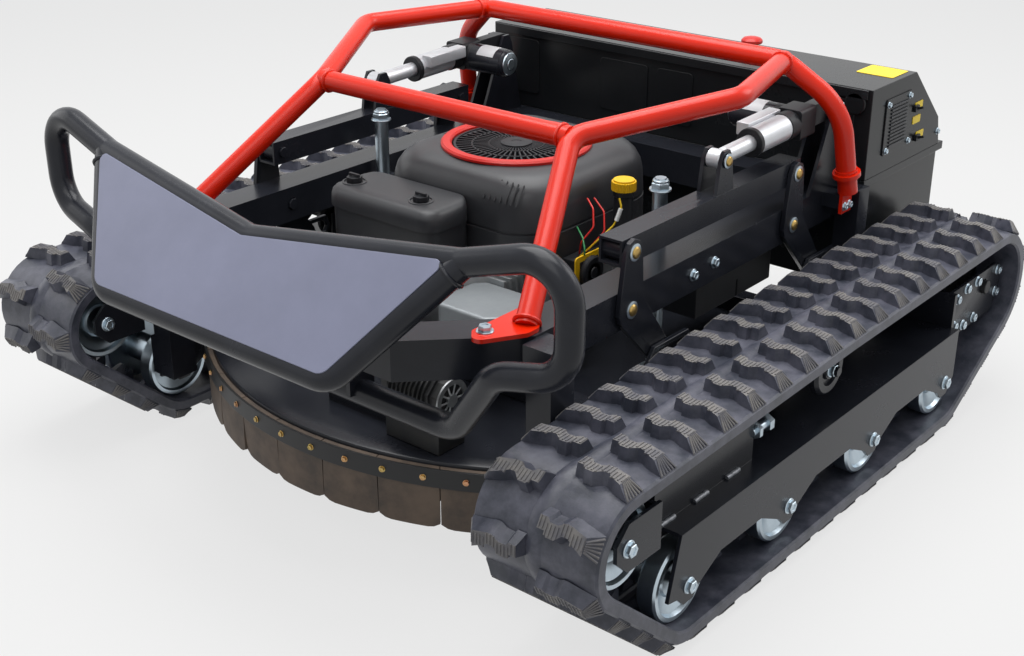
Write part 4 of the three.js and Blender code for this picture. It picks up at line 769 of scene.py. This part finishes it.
def plate_shape(shape, inset, low, high):
    """Adds the plate's outline, drawn in by an inset, between two depths over the tubes' axes."""
    top = plate_height - 5 - inset * 0.6
    corners = [(353 - inset, top), (0, notch_height - 3 - inset), (inset - 353, top),
               (inset * 0.6 - 237, 2 + inset), (237 - inset * 0.6, 2 + inset)]
    outline = rounded_outline(corners, [9, 20, 9, 24, 24])
    loft(shape, [[plate_foot + Vector((x, 0, 0)) + plate_slope * t + plate_normal * depth for x, t in outline]
                 for depth in (low, high)])


plate = bmesh.new()
plate_shape(plate, 20, -2.5, 17.4)
plate_shape(plate, 0, 17.2, 20.2)
# The plate's paler grey is a painted reflection
piece("slate_plate", plate, slate_and_reflection_paint, "root", "bumper_plate", rounding=1)


# Rear housing: folded sheet steel, semi gloss black. The tray has a rim, and the cover a folded top edge,
# pressed squares and a round lid in front, a grille panel at each side and bolts along its slanted edge.
panel_black = surface("semi_gloss_black_enamel", "191b1d", "222427",
                      160, 0.26, 0.06, 3.5, 0.06, specular=0.25)
softened("rear_tray", panel_black, "root", 1.5)
softened("rear_cover", panel_black, "root", 1.5)
cover_low, cover_high = box("rear_cover")


def rounded_box(u0, u1, v0, v1, radius, steps=5):
    """The outline of a rectangle with round corners."""
    return rounded_outline([(u0, v0), (u1, v0), (u1, v1), (u0, v1)], [radius] * 4, steps)


panels = bmesh.new()
cover_front = cover_low[1]
for span in ((-150, -40, 440, 540), (-20, 60, 440, 540), (300, 385, 440, 548), (-385, -300, 440, 548)):
    slab(panels, rounded_box(*span, 8), "y", cover_front + 0.5, cover_front - 2)
panel_face = cover_high[0] + 2.5
for side in (1, -1):
    slab(panels, rounded_box(452, 552, 442, 542, 6), "x",
         *sorted((side * (panel_face - 3), side * panel_face)))
turned(panels, [(0, 0.5), (20, 0.5), (20, -3), (18, -5), (0, -5)],
       (385, cover_front, 544), "y", 32)
slab(panels, [(-408, 553), (408, 553), (408, 569), (-408, 569)], "y",
     cover_front + 0.5, cover_front - 5)
piece("cover_panels", panels, panel_black, "root", rounding=1)
slats = bmesh.new()
for side in (1, -1):
    for i in range(12):
        z = 455 + i * 6.4
        slab(slats, rounded_box(470, 534, z, z + 3.4, 1.6), "x",
             *sorted((side * (panel_face - 1), side * (panel_face + 2.2))))
piece("grille_slats", slats, powder_black, "root", rounding=0.6)
places = []
for side in (1, -1):
    for y, z in ((463, 450), (548, 450), (459, 533), (539, 534)):
        places.append((side * panel_face, y, z, (side, 0, 0), 4.5))
    places.append((side * cover_high[0], 678, 437, (side, 0, 0), 5))
# The slant starts at y 563, z 570 and falls by 105 in 114
for x in (-360, -120, 120, 360):
    places.append((x, 650, 570 - (650 - 563) * 105 / 114, (0, 105, 114), 5))
flange_bolts("cover_bolts", places, "root")

# Toggle switches in black surrounds, and bare yellow plates beside them and on the cover
red_plastic = surface("moulded_red_plastic", "c41a10", "b2160d", 60, 0.34, 0.04, 2, 0.03)
yellow_plastic = surface("moulded_yellow_plastic", "e8b90f", "d8a80c",
                         40, 0.42, 0.05, 1.5, 0.05)
# Moulded black plastic: a fine even grain, with a dull sheen
moulded_plastic = surface("grained_black_plastic", "1e1f22", "292a2e",
                          70, 0.44, 0.06, 1.2, 0.12, specular=0.25)
label_yellow = surface("yellow_label_film", "f2d21c", "e9c716", 60, 0.38, 0.03, 4, 0.01)
labels = bmesh.new()
side_x = cover_high[0]
for y, z in ((584, 506), (580, 481), (600, 449)):
    slab(labels, rounded_box(y - 15, y + 15, z - 7, z + 7, 2), "x", side_x - 0.2, side_x + 0.9)
slab(labels, rounded_box(332, 402, 494, 556, 3), "z", 569.8, 570.8)
piece("yellow_plates", labels, label_yellow, "root")
switches = bmesh.new()
for y, z in ((572, 506), (588, 449)):
    slab(switches, rounded_box(y - 8, y + 8, z - 9, z + 3, 2), "x", side_x, side_x + 5)
    tube(switches, [Vector((side_x + 4, y, z - 3)), Vector((side_x + 15, y, z + 1))], 2.4, 12)
piece("toggle_switches", switches, moulded_plastic, "root", rounding=0.6)

# Emergency stop: a mushroom head of moulded red plastic on its stem. It is pressed down through a yellow
# collar ring on the rear cover.
low, high = box("stop_button")
button_at = (*axis_of("stop_button"), 0)
head = (high[0] - low[0]) / 2
crown = high[2] - 12
button = bmesh.new()
turned(button, [(0, low[2]), (9, low[2]), (9, crown), (head - 1.5, crown), (head, crown + 2),
                (head - 0.5, crown + 6), (head * 0.8, crown + 9.5), (head * 0.45, high[2] - 0.6),
                (0, high[2])], button_at, "z")
piece("stop_mushroom", button, red_plastic, "stop_button", "stop_button")
collar = bmesh.new()
turned(collar, [(17.2, 570), (23, 570), (23, 573), (21, 575), (17.2, 575)], button_at, "z")
piece("stop_collar_ring", collar, yellow_plastic, "root")


# Battery boxes: moulded black plastic in two halves, with a parting groove between them. They hang under
# the beams, one at each side.
for side_name, side in SIDES:
    softened(f"battery_box_{side_name}", moulded_plastic, "root", 3)


# Deck: a pressed pan with a rim, satin black. A clamp strip holds a row of rubber flaps all round it with
# coppery zinc bolts. The flaps hang side by side, with a narrow slit between them.
deck_low, deck_high = box("deck_pan")
deck_half = (deck_high[0] - deck_low[0]) / 2
deck_radius = 580
deck_centre_y = deck_low[1] + deck_radius
spindle_y = -35
flap_rubber = surface("flap_rubber", "6b5c4f", "403a36", 60, 0.62, 0.08, 1.8, 0.2, veins=0.8)


def deck_place(share, offset):
    """A place on the pan's outline grown by an offset.

    Share 0 to 1 is the front arc, 1 to 2 the right side, 2 to 3 the rear arc and 3 to 4 the left side.
    """
    half = deck_half + offset
    radius = deck_radius + offset
    sweep = math.asin(half / radius)
    front_y = deck_centre_y - radius * math.cos(sweep)
    if share <= 1:
        angle = sweep * (2 * share - 1)
        return radius * math.sin(angle), deck_centre_y - radius * math.cos(angle)
    if share <= 2:
        return half, front_y + (spindle_y - front_y) * (share - 1)
    if share <= 3:
        angle = math.pi * (share - 2)
        return half * math.cos(angle), spindle_y + half * math.sin(angle)
    return -half, spindle_y + (front_y - spindle_y) * (share - 3)


def deck_ring(offset, steps=64):
    """The pan's outline grown by an offset: two arcs joined by straight sides."""
    return [deck_place(first + i / steps, offset) for first in (0, 2) for i in range(steps + 1)]


def band(shape, inner, outer, low, high):
    """Adds a band round the deck between two offsets and two heights."""
    rows = [[(x, y, z) for x, y in deck_ring(offset)] for offset, z in
            ((outer, low), (outer, high), (inner, high), (inner, low))]
    stations = [[row[i] for row in rows] for i in range(len(rows[0]))]
    loft(shape, stations, closed=True)


# The pan's outer skin and its inner one, each as (offset, height) from the rim up
pan_foot, pan_top = deck_low[2], deck_high[2]
pan_skins = (((-5, pan_foot), (0, pan_foot), (0, pan_top - 4), (-1.2, pan_top - 1.2), (-4, pan_top),
              (-30, pan_top)),
             ((-5, pan_foot), (-5, pan_top - 5), (-30, pan_top - 5)))
pan = bmesh.new()
for skin in pan_skins:
    loft(pan, [[(x, y, z) for x, y in deck_ring(offset)] for offset, z in skin])
    # The pan is open below
    caps = [face for face in pan.faces if len(face.verts) > 4 and face.calc_center_median().z < pan_foot + 1]
    bmesh.ops.delete(pan, geom=caps, context="FACES_ONLY")
bmesh.ops.remove_doubles(pan, verts=pan.verts, dist=0.01)
piece("deck_pressing", pan, powder_black, "deck", "deck_pan")
strip = bmesh.new()
strip_low, strip_high = box("skirt_strip")
band(strip, 8.6, 12.6, strip_low[2], strip_high[2])
strip_black = surface("dull_black_strip", "0f1012", "17181a", 40, 0.45, 0.05, 2, 0.05)
piece("clamp_strip", strip, strip_black, "deck", "skirt_strip", rounding=0.8)

skirt_low, skirt_high = box("deck_skirt")
flap_top = skirt_high[2] - 0.5
# Each stretch of the outline as (where its share starts, flaps, bolts): front, right side, rear, left side
skirt_stretches = ((0, 9, 14), (1, 4, 5), (2, 9, 14), (3, 4, 5))
flap_steps = 10
flap_spans = [(first + i / count, 1 / count) for first, count, _ in skirt_stretches for i in range(count)]
unsteady = random.Random(5)
flaps = bmesh.new()
for start, width in flap_spans:
    sway = [unsteady.uniform(-1.5, 2.5), unsteady.uniform(-1.5, 2.5)]
    slit = width * 0.008
    rings = []
    for k in range(flap_steps + 1):
        share = start + slit + (width - 2 * slit) * k / flap_steps
        lean = sway[0] + (sway[1] - sway[0]) * k / flap_steps
        ring = []
        # The lower corners are rounded, and the middle hangs a little lower
        hem = skirt_low[2] + (7 if k in (0, flap_steps) else 1.6 if k in (1, flap_steps - 1) else 0)
        for offset, z, give in ((0.4, flap_top, 0), (8.2, flap_top, 0), (8.2, 138, 0), (8.2, 106, 0.5),
                                (7.2, hem, 1), (1.4, hem, 1), (0.4, 106, 0.5), (0.4, 138, 0)):
            x, y = deck_place(share, offset + lean * give)
            ring.append((x, y, z))
        rings.append(ring)
    loft(flaps, rings)
piece("rubber_flaps", flaps, flap_rubber, "deck", "deck_skirt")
places = []
for first, _, bolts in skirt_stretches:
    for i in range(bolts):
        share = first + (i + 0.5) / bolts
        x, y = deck_place(share, 12.6)
        x2, y2 = deck_place(share, 20)
        places.append((x, y, 161, (x2 - x, y2 - y, 0), 4))
# Zinc on the strip's bolts, chromated to a coppery tint that drifts to yellow
copper_zinc = surface("coppery_zinc_plate", "c08a72", "b0a25e",
                      90, 0.34, 0.08, 2, 0.03, metallic=1.0, veins=1.0)
flange_bolts("strip_bolts", places, "deck", copper_zinc)
# A guard strip with three rows of eyelets stands on the pan, beside the alternator
guard = bmesh.new()
guard_y = -452
slab(guard, rounded_box(-30, 114, guard_y - 1.2, guard_y + 1.2, 1), "z", pan_top - 0.3, pan_top + 30)
slab(guard, rounded_box(-30, 114, guard_y, guard_y + 18, 1), "z", pan_top + 27.8, pan_top + 30)
eyelet = bmesh.new()
turned(eyelet, [(1.7, -0.4), (2.8, -0.4), (2.8, 0.7), (1.7, 0.7)], axis="z", steps=10)
eyelet_places = [((-26 + i * 7.2, guard_y - 1.2, z), (math.pi / 2, 0, 0), (1, 1, 1))
                 for i in range(20) for z in (188, 195, 202)]
piece("guard_strip", joined(guard, repeated(eyelet, eyelet_places, powder_black)), powder_black, "deck")
softened("deck_cradle", powder_black, "deck", 1.6)

# Blade: forged steel, dark with its oil, under the pan. It is fixed to the foot of the engine's spindle and
# turns with it.
softened("blade", dark_casting, "blade", 1.2)

# Guide posts: ground steel bars, zinc plated, that slide in the chassis's bushes. Each has a flange at its
# foot, where the deck carries it, and a flange nut on top.
for side_name, side in SIDES:
    low, high = box(f"guide_post_{side_name}")
    foot, tip = low[2], high[2] - 4
    post_at = (*axis_of(f"guide_post_{side_name}"), 0)
    post = bmesh.new()
    turned(post, [(0, foot), (24, foot), (24, foot + 6), (22.5, foot + 7.5), (12, foot + 8), (12, tip - 14),
                  (11, tip), (0, tip)], post_at, "z")
    nut = high[2] - 20
    turned(post, [(0, nut), (17, nut), (17.6, nut + 1), (17, nut + 3), (0, nut + 3)], post_at, "z")
    turned(post, [(0, nut + 2), (15, nut + 2), (15, nut + 12), (13.4, nut + 13.4), (0, nut + 13.4)],
           post_at, "z", 6)
    turned(post, [(0, nut + 12), (12.4, nut + 12), (12.4, nut + 16), (11, nut + 17.5), (9.4, nut + 17.5),
                  (8.8, nut + 20), (0, nut + 20)], post_at, "z", 32)
    piece(f"ground_post_{side_name}", post, zinc_plate, "deck", f"guide_post_{side_name}")


# Engine: a cast crankcase with two finned cylinders under a moulded shroud, with a red ring round the
# finned screen that turns with the fan, an air cleaner under a cover with two knobs, and a steel muffler.
cast_alloy = surface("cast_alloy", "a9acae", "8d8f90", 24, 0.45, 0.08, 1.5, 0.3, metallic=0.8)
shroud_plastic = surface("moulded_shroud_plastic", "2b2c2f", "37383b",
                         80, 0.4, 0.06, 1.4, 0.1, specular=0.45)
softened("engine_block", cast_alloy, "deck", 1.5)


def moulding(low, high, levels, radius_at, steps, rear):
    """Rings of a box with round corners, one for each (height, inset). The rear has a share of the inset."""
    return [[(x, y, z) for x, y in rounded_box(low[0] + inset, high[0] - inset, low[1] + inset,
                                               high[1] - inset * rear, radius_at(inset), steps)]
            for z, inset in levels]


low, high = box("engine_shroud")
shroud_top = high[2]
levels = ((low[2], 3), (low[2] + 2, 0), (low[2] + 52, 0), (low[2] + 53, 2.5), (low[2] + 56, 2.5),
          (low[2] + 57, 0.5), (455, 3), (472, 7), (484, 14), (493, 24), (498, 36), (shroud_top, 52))
rings = moulding(low, high, levels, lambda inset: 78 - inset * 0.3, 9, 0.6)
# The fan's well, and the bore for its shaft
angles = [math.atan2(y - spindle_y, x) for x, y, _ in rings[0]]
for radius, z in ((126.5, shroud_top), (106.6, shroud_top), (106.6, shroud_top - 16), (14.2, shroud_top - 16),
                  (14.2, shroud_top - 30)):
    rings.append([(radius * math.cos(a), spindle_y + radius * math.sin(a), z) for a in angles])
shroud = bmesh.new()
loft(shroud, rings)
# Ribs stand for the raised lips of the cooling slots on its shoulder and its front
for i in range(6):
    x = -126 - 4 * abs(i - 2.5)
    y = -62 + i * 13
    rib(shroud, (x - 22, y, 487), (x + 10, y - 6, 498.6), 4, 2.6)
for i in range(7):
    x = 66 + i * 11
    rib(shroud, (x, -197.4, 462), (x, -176, 490), 3.5, 2.2)
piece("moulded_shroud", shroud, shroud_plastic, "deck", "engine_shroud", sharp=40)

low, high = box("air_cleaner_cover")
levels = ((low[2], 7), (low[2] + 3, 5), (425, 4), (426, 0.5), (430, 0), (444, 0.5), (452, 3), (457, 8),
          (high[2] - 0.6, 15), (high[2], 26))
back = (high[0], high[1] - 0.2)
air = bmesh.new()
loft(air, moulding(low, back, levels, lambda inset: max(30 - inset, 8), 7, 0))
for side_name in ("left", "right"):
    seat_at = (*axis_of(f"cover_knob_{side_name}"), high[2])
    turned(air, [(17, -2), (21, -2), (20, 1.2), (17.5, 1.6)], seat_at, "z")
piece("air_cover", air, shroud_plastic, "deck", "air_cleaner_cover", sharp=40)
low, high = box("fan_ring")
radius = (high[0] - low[0]) / 2
ring = bmesh.new()
turned(ring, [(107, low[2]), (radius, low[2]), (radius, high[2] - 3), (radius - 3, high[2]), (110, high[2]),
              (107, high[2] - 3)], (0, spindle_y, 0), "z", 72)
piece("red_fan_ring", ring, red_plastic, "deck", "fan_ring")

low, high = box("fan_screen")
top = high[2]
screen = bmesh.new()
for inner, outer, drop in ((100, 104, 0), (72, 75, 1), (44, 47, 1)):
    crest = top - drop
    turned(screen, [(inner, crest - 8), (outer, crest - 8), (outer, crest), (inner, crest)],
           (0, spindle_y, 0), "z", 64)
turned(screen, [(0, low[2]), (13.5, low[2]), (13.5, top - 14), (26, top - 12), (26, top + 1), (24, top + 2),
                (9, top + 2), (8, top + 1), (0, top + 1)], (0, spindle_y, 0), "z")
slat = bmesh.new()
slab(slat, [(25, -1), (101, -1.5), (101, 1.5), (25, 1)], "z", -7, 0)
slat_count = 48
slat_places = [((0, spindle_y, top - 1), (0, 0, 2 * math.pi * i / slat_count), (1, 1, 1))
               for i in range(slat_count)]
slats = repeated(slat, slat_places, moulded_plastic)
piece("fan_slats", joined(screen, slats), moulded_plastic, "fan_screen", "fan_screen")


def waved(x, y, reach_at, steps):
    """A round outline whose reach from its middle changes with the step and its angle."""
    places = []
    for i in range(steps):
        angle = 2 * math.pi * i / steps
        reach = reach_at(i, angle)
        places.append((x + reach * math.cos(angle), y + reach * math.sin(angle)))
    return places


for side_name in ("left", "right"):
    node = f"cover_knob_{side_name}"
    low, high = box(node)
    x, y = axis_of(node)
    knob = bmesh.new()
    lobes = waved(x, y, lambda i, angle: 12.4 + 0.8 * math.cos(6 * angle), 48)
    slab(knob, lobes, "z", low[2] + 15.3, high[2] - 1)
    turned(knob, [(0, low[2]), (4, low[2]), (4, high[2]), (3, high[2] + 0.5), (0, high[2] + 0.5)],
           (x, y, 0), "z", 20)
    slab(knob, rounded_box(x - 11.5, x + 11.5, y - 2.6, y + 2.6, 2.4), "z", high[2] - 2, high[2] + 4)
    piece(f"ribbed_knob_{side_name}", knob, moulded_plastic, node, node, rounding=0.8)

aluminised_steel = surface("aluminised_steel", "8f9497", "7a7f82",
                           60, 0.5, 0.06, 2.5, 0.05, metallic=0.4)
softened("muffler", aluminised_steel, "deck", 6)
softened("starter_motor", powder_black, "deck", 1.5)
softened("throttle_servo", moulded_plastic, "deck", 1.5)
low, high = box("throttle_servo")
servo_y = (low[1] + high[1]) / 2
servo_z = (low[2] + high[2]) / 2
servo_face = high[0]
bracket = bmesh.new()
slab(bracket, rounded_box(servo_y - 34, servo_y + 34, servo_z - 26, servo_z + 30, 6), "x", servo_face - 13.5,
     servo_face - 10.5)
piece("servo_bracket", bracket, yellow_plastic, "deck", rounding=0.6)
wheel = bmesh.new()
turned(wheel, [(0, -10.6), (24, -10.6), (26, -8), (26, -2), (24, 0), (9, 0), (8, 1.6), (0, 1.6)],
       (servo_face, servo_y, servo_z))
piece("servo_wheel", wheel, moulded_plastic, "deck")
flange_bolts("servo_bolt", [(servo_face, servo_y - 4, servo_z - 17, (1, 0, 0), 4)], "deck")

# Wiring on the engine's side: short copper leads in coloured plastic insulation, clipped at both ends. The
# yellow one has a white bullet connector.
lead_runs = (
    ("red_lead", "c2211a", [
        (174, -70, 452), (196, -84, 444), (208, -98, 420), (198, -116, 398), (186, -104, 372)]),
    ("second_red_lead", "b81d17", [
        (174, -52, 448), (204, -66, 436), (216, -80, 410), (204, -96, 388), (190, -92, 371)]),
    ("green_lead", "2f7d4a", [(174, -96, 412), (198, -112, 404), (212, -124, 388), (204, -118, 371)]),
    ("yellow_lead", "d9b51d", [
        (228, -60, 462), (234, -62, 450), (233, -66, 436), (228, -74, 420), (214, -96, 398),
        (192, -110, 371)]))
for name, colour, points in lead_runs:
    insulation = surface(f"{name}_insulation", colour, colour, 30, 0.4, 0.03, 1, 0.01)
    lead = bmesh.new()
    tube(lead, bent_path(points, 9, 3), 1.5, 10)
    piece(name, lead, insulation, "deck", sharp=60)
white_nylon = surface("white_nylon", "e4e6e4", "d5d8d6", 20, 0.4, 0.04, 1, 0.02)
bullet = bmesh.new()
tube(bullet, [Vector((234, -63, 447)), Vector((231, -70, 428))], 3.4, 16)
piece("bullet_connector", bullet, white_nylon, "deck")
softened("alternator", dark_casting, "deck", 1.2)
low, high = box("alternator")
alternator_face = high[0]
alternator_axis = (-450, 262)
fins = bmesh.new()
fin_profile = []
for i in range(9):
    x = low[0] + 16 + 8.2 * i
    fin_profile += [(36, x), (40.5, x + 0.8), (40.5, x + 3.2), (36, x + 4)]
fin_profile += [(30, fin_profile[-1][1]), (30, fin_profile[0][1])]
turned(fins, fin_profile, (0, *alternator_axis))
piece("alternator_fins", fins, dark_casting, "deck")
grille = bmesh.new()
turned(grille, [(24, 0), (32, 0), (32, 3), (24, 3)], (alternator_face, *alternator_axis), "x", 32)
turned(grille, [(0, 0), (10, 0), (10, 4), (0, 4)], (alternator_face, *alternator_axis), "x", 24)
spokes = 10
at = Vector((alternator_face + 1.5, *alternator_axis))
for i in range(spokes):
    angle = 2 * math.pi * i / spokes
    way = Vector((0, math.cos(angle), math.sin(angle)))
    tube(grille, [at + way * 9, at + way * 25], 1.5, 6)
piece("alternator_grille", grille, cast_alloy, "deck", slot="cast_iron")

# The filler neck wears a black moulded sleeve
sleeve = bmesh.new()
turned(sleeve, [(14.3, 352), (18, 352), (18, 372), (15.8, 376), (15.8, 452), (17.6, 454), (17.6, 461.8),
                (14.3, 461.8)], (210, -23, 0), "z", 32)
piece("neck_sleeve", sleeve, moulded_plastic, "deck")

# Filler cap: moulded yellow plastic, with ribs round its skirt to grip. A quarter turn opens it on the
# engine's filler neck.
low, high = box("filler_cap")
cap_steps = 28 * 4
ribbed = waved(*axis_of("filler_cap"), lambda i, angle: 20 - (1.3 if i % 4 in (0, 1) else 0), cap_steps)
plain = waved(*axis_of("filler_cap"), lambda i, angle: 17, cap_steps)
cap = bmesh.new()
slab(cap, ribbed, "z", low[2], high[2] - 3)
slab(cap, plain, "z", high[2] - 3.5, high[2])
piece("ribbed_cap", cap, yellow_plastic, "filler_cap", "filler_cap", rounding=0.5)


# Lift linkage: laser cut cranks, box links with welded clevises and pins with domed yellow zinc heads
# on zinc washers, all under satin black powder coat but the pins.
pin_parts = (("washers", zinc_plate, [(0, -0.1), (1.45, -0.1), (1.45, 0.14), (1.3, 0.2), (0, 0.2)]),
             ("heads", yellow_zinc, [(0, 0.1), (1, 0.1), (1, 0.3), (0.82, 0.52), (0.5, 0.62), (0, 0.66)]))


def pins(name, places, body):
    """Pins with domed heads on washers, at places given as for aimed(). The size is the head's radius."""
    for part, material, profile in pin_parts:
        item = bmesh.new()
        turned(item, profile, axis="z", steps=28)
        piece(f"{name}_{part}", repeated(item, aimed(places), material), material, body)


crank_pivots = {"front_crank": -247, "rear_crank": 208}
crank_pivot_z = 380
for side_name, side in SIDES:
    for crank, pivot_y in crank_pivots.items():
        node = f"{crank}_{side_name}"
        softened(node, powder_black, node, 1.2)
        pins(node, [(side * 388.8, pivot_y, crank_pivot_z, (side, 0, 0), 9),
                    (side * 388.8, pivot_y + 3, crank_pivot_z + 87, (side, 0, 0), 9)], node)
        low_bolt = (side * 403.5, pivot_y + 83, crank_pivot_z - 98, (side, 0, 0), m10_head)
        flange_bolts(f"{node}_bolt", [low_bolt], node)
    link = f"upper_link_{side_name}"
    softened(link, powder_black, link, 1.8)
    boss = bmesh.new()
    for pivot_y in crank_pivots.values():
        turned(boss, [(0, -19.6), (17, -19.6), (17, 19.6), (0, 19.6)],
               (side * 360, pivot_y + 3, crank_pivot_z + 87), "x", 28)
    piece(f"{link}_bosses", boss, powder_black, link)
    pins(f"{link}_clevis", [(side * 380, 5, 537, (side, 0, 0), 8)], link)

# Linear actuators: drawn aluminium tubes with a flat rail on top, black plastic collars and gearboxes,
# and a motor that points inboard with a stepped end and a bare label wrapped round it.
drawn_aluminium = surface("drawn_aluminium", "d6d8db", "c2c5c9",
                          50, 0.36, 0.06, 4, 0.03, metallic=0.5)
pale_film = surface("pale_label_film", "c9cacc", "bdbec0", 60, 0.4, 0.03, 4, 0.01)
clevis = Vector((360, 5, 537))
tower_pin = Vector((360, 345, 546))
pin_distance = (tower_pin - clevis).length
pitch = math.atan2(tower_pin.z - clevis.z, tower_pin.y - clevis.y)
tilt = Matrix.Translation(clevis) @ Matrix.Rotation(pitch, 4, "X")


def tipped(shape, side):
    """Turns a shape drawn level along +Y from the clevis pin into its place on one side."""
    bmesh.ops.transform(shape, matrix=tilt, verts=shape.verts)
    if side < 0:
        bmesh.ops.transform(shape, matrix=Matrix.Scale(-1, 4, (1, 0, 0)), verts=shape.verts)
    return shape


barrel_start, barrel_end, gearbox_end = 95.2, 215, 260
motor_at = (0, 236, -3)
rod_end = (box("actuator_rod_right")[1].y - clevis.y) / math.cos(pitch)
for side_name, side in SIDES:
    rod = bmesh.new()
    turned(rod, [(0, -11.4), (14, -11.4), (15, -10.4), (15, 10.4), (14, 11.4), (0, 11.4)], steps=32)
    turned(rod, [(0, 9), (11, 9), (11, 17), (13, 19), (13, rod_end), (0, rod_end)], axis="y", steps=32)
    node = f"actuator_rod_{side_name}"
    piece(f"drawn_rod_{side_name}", tipped(rod, side), drawn_aluminium, node, node)
    body = f"actuator_body_{side_name}"
    barrel = bmesh.new()
    turned(barrel, [(13.4, barrel_start), (22, barrel_start), (22, barrel_end), (13.4, barrel_end)], axis="y")
    slab(barrel, rounded_box(-34, -12, 4, 25, 2), "y", barrel_start + 13, barrel_end - 10)
    piece(f"drawn_barrel_{side_name}", tipped(barrel, side), drawn_aluminium, body, body, rounding=0.8)
    fittings = bmesh.new()
    for start, end in ((barrel_start - 3, barrel_start + 6), (barrel_end - 27, barrel_end)):
        collar = [(13.6, start), (22.6, start), (23.6, start + 1), (23.6, end), (13.6, end)]
        turned(fittings, collar, axis="y")
    slab(fittings, rounded_box(-23, 23, -25, 25, 6), "y", barrel_end - 2, gearbox_end)
    turned(fittings, [(0, -34), (26, -34), (26, 0), (0, 0)], motor_at)
    angles = [math.pi * (i / 12 - 0.5) for i in range(13)]
    eye = [(pin_distance + 18 * math.cos(a), 18 * math.sin(a)) for a in angles]
    slab(fittings, eye + [(gearbox_end - 2, 18), (gearbox_end - 2, -18)], "x", -11, 11)
    piece(f"gearbox_{side_name}", tipped(fittings, side), moulded_plastic, body, rounding=1)
    can = bmesh.new()
    turned(can, [(0, -118), (12, -118), (13, -116), (21, -115), (24, -112), (24.5, -108), (26, -107),
                 (26, -34), (0, -34)], motor_at)
    piece(f"motor_can_{side_name}", tipped(can, side), powder_black, body)
    disc = bmesh.new()
    turned(disc, [(0, -119.2), (9, -119.2), (10, -118.2), (20, -116.6), (21, -115), (0, -115)], motor_at)
    piece(f"motor_end_{side_name}", tipped(disc, side), zinc_plate, body)
    label = bmesh.new()
    angles = [math.radians(30 + 11 * i) for i in range(9)]
    loft(label, [[(x, motor_at[1] - r * math.cos(a), motor_at[2] + r * math.sin(a))
                  for x, r in ((-92, 25.9), (-52, 25.9), (-52, 26.4), (-92, 26.4))] for a in angles])
    piece(f"motor_label_{side_name}", tipped(label, side), pale_film, body)
    tower_bolt = (side * 378, tower_pin.y, tower_pin.z, (side, 0, 0), m12_head)
    flange_bolts(f"tower_bolt_{side_name}", [tower_bolt], "root")
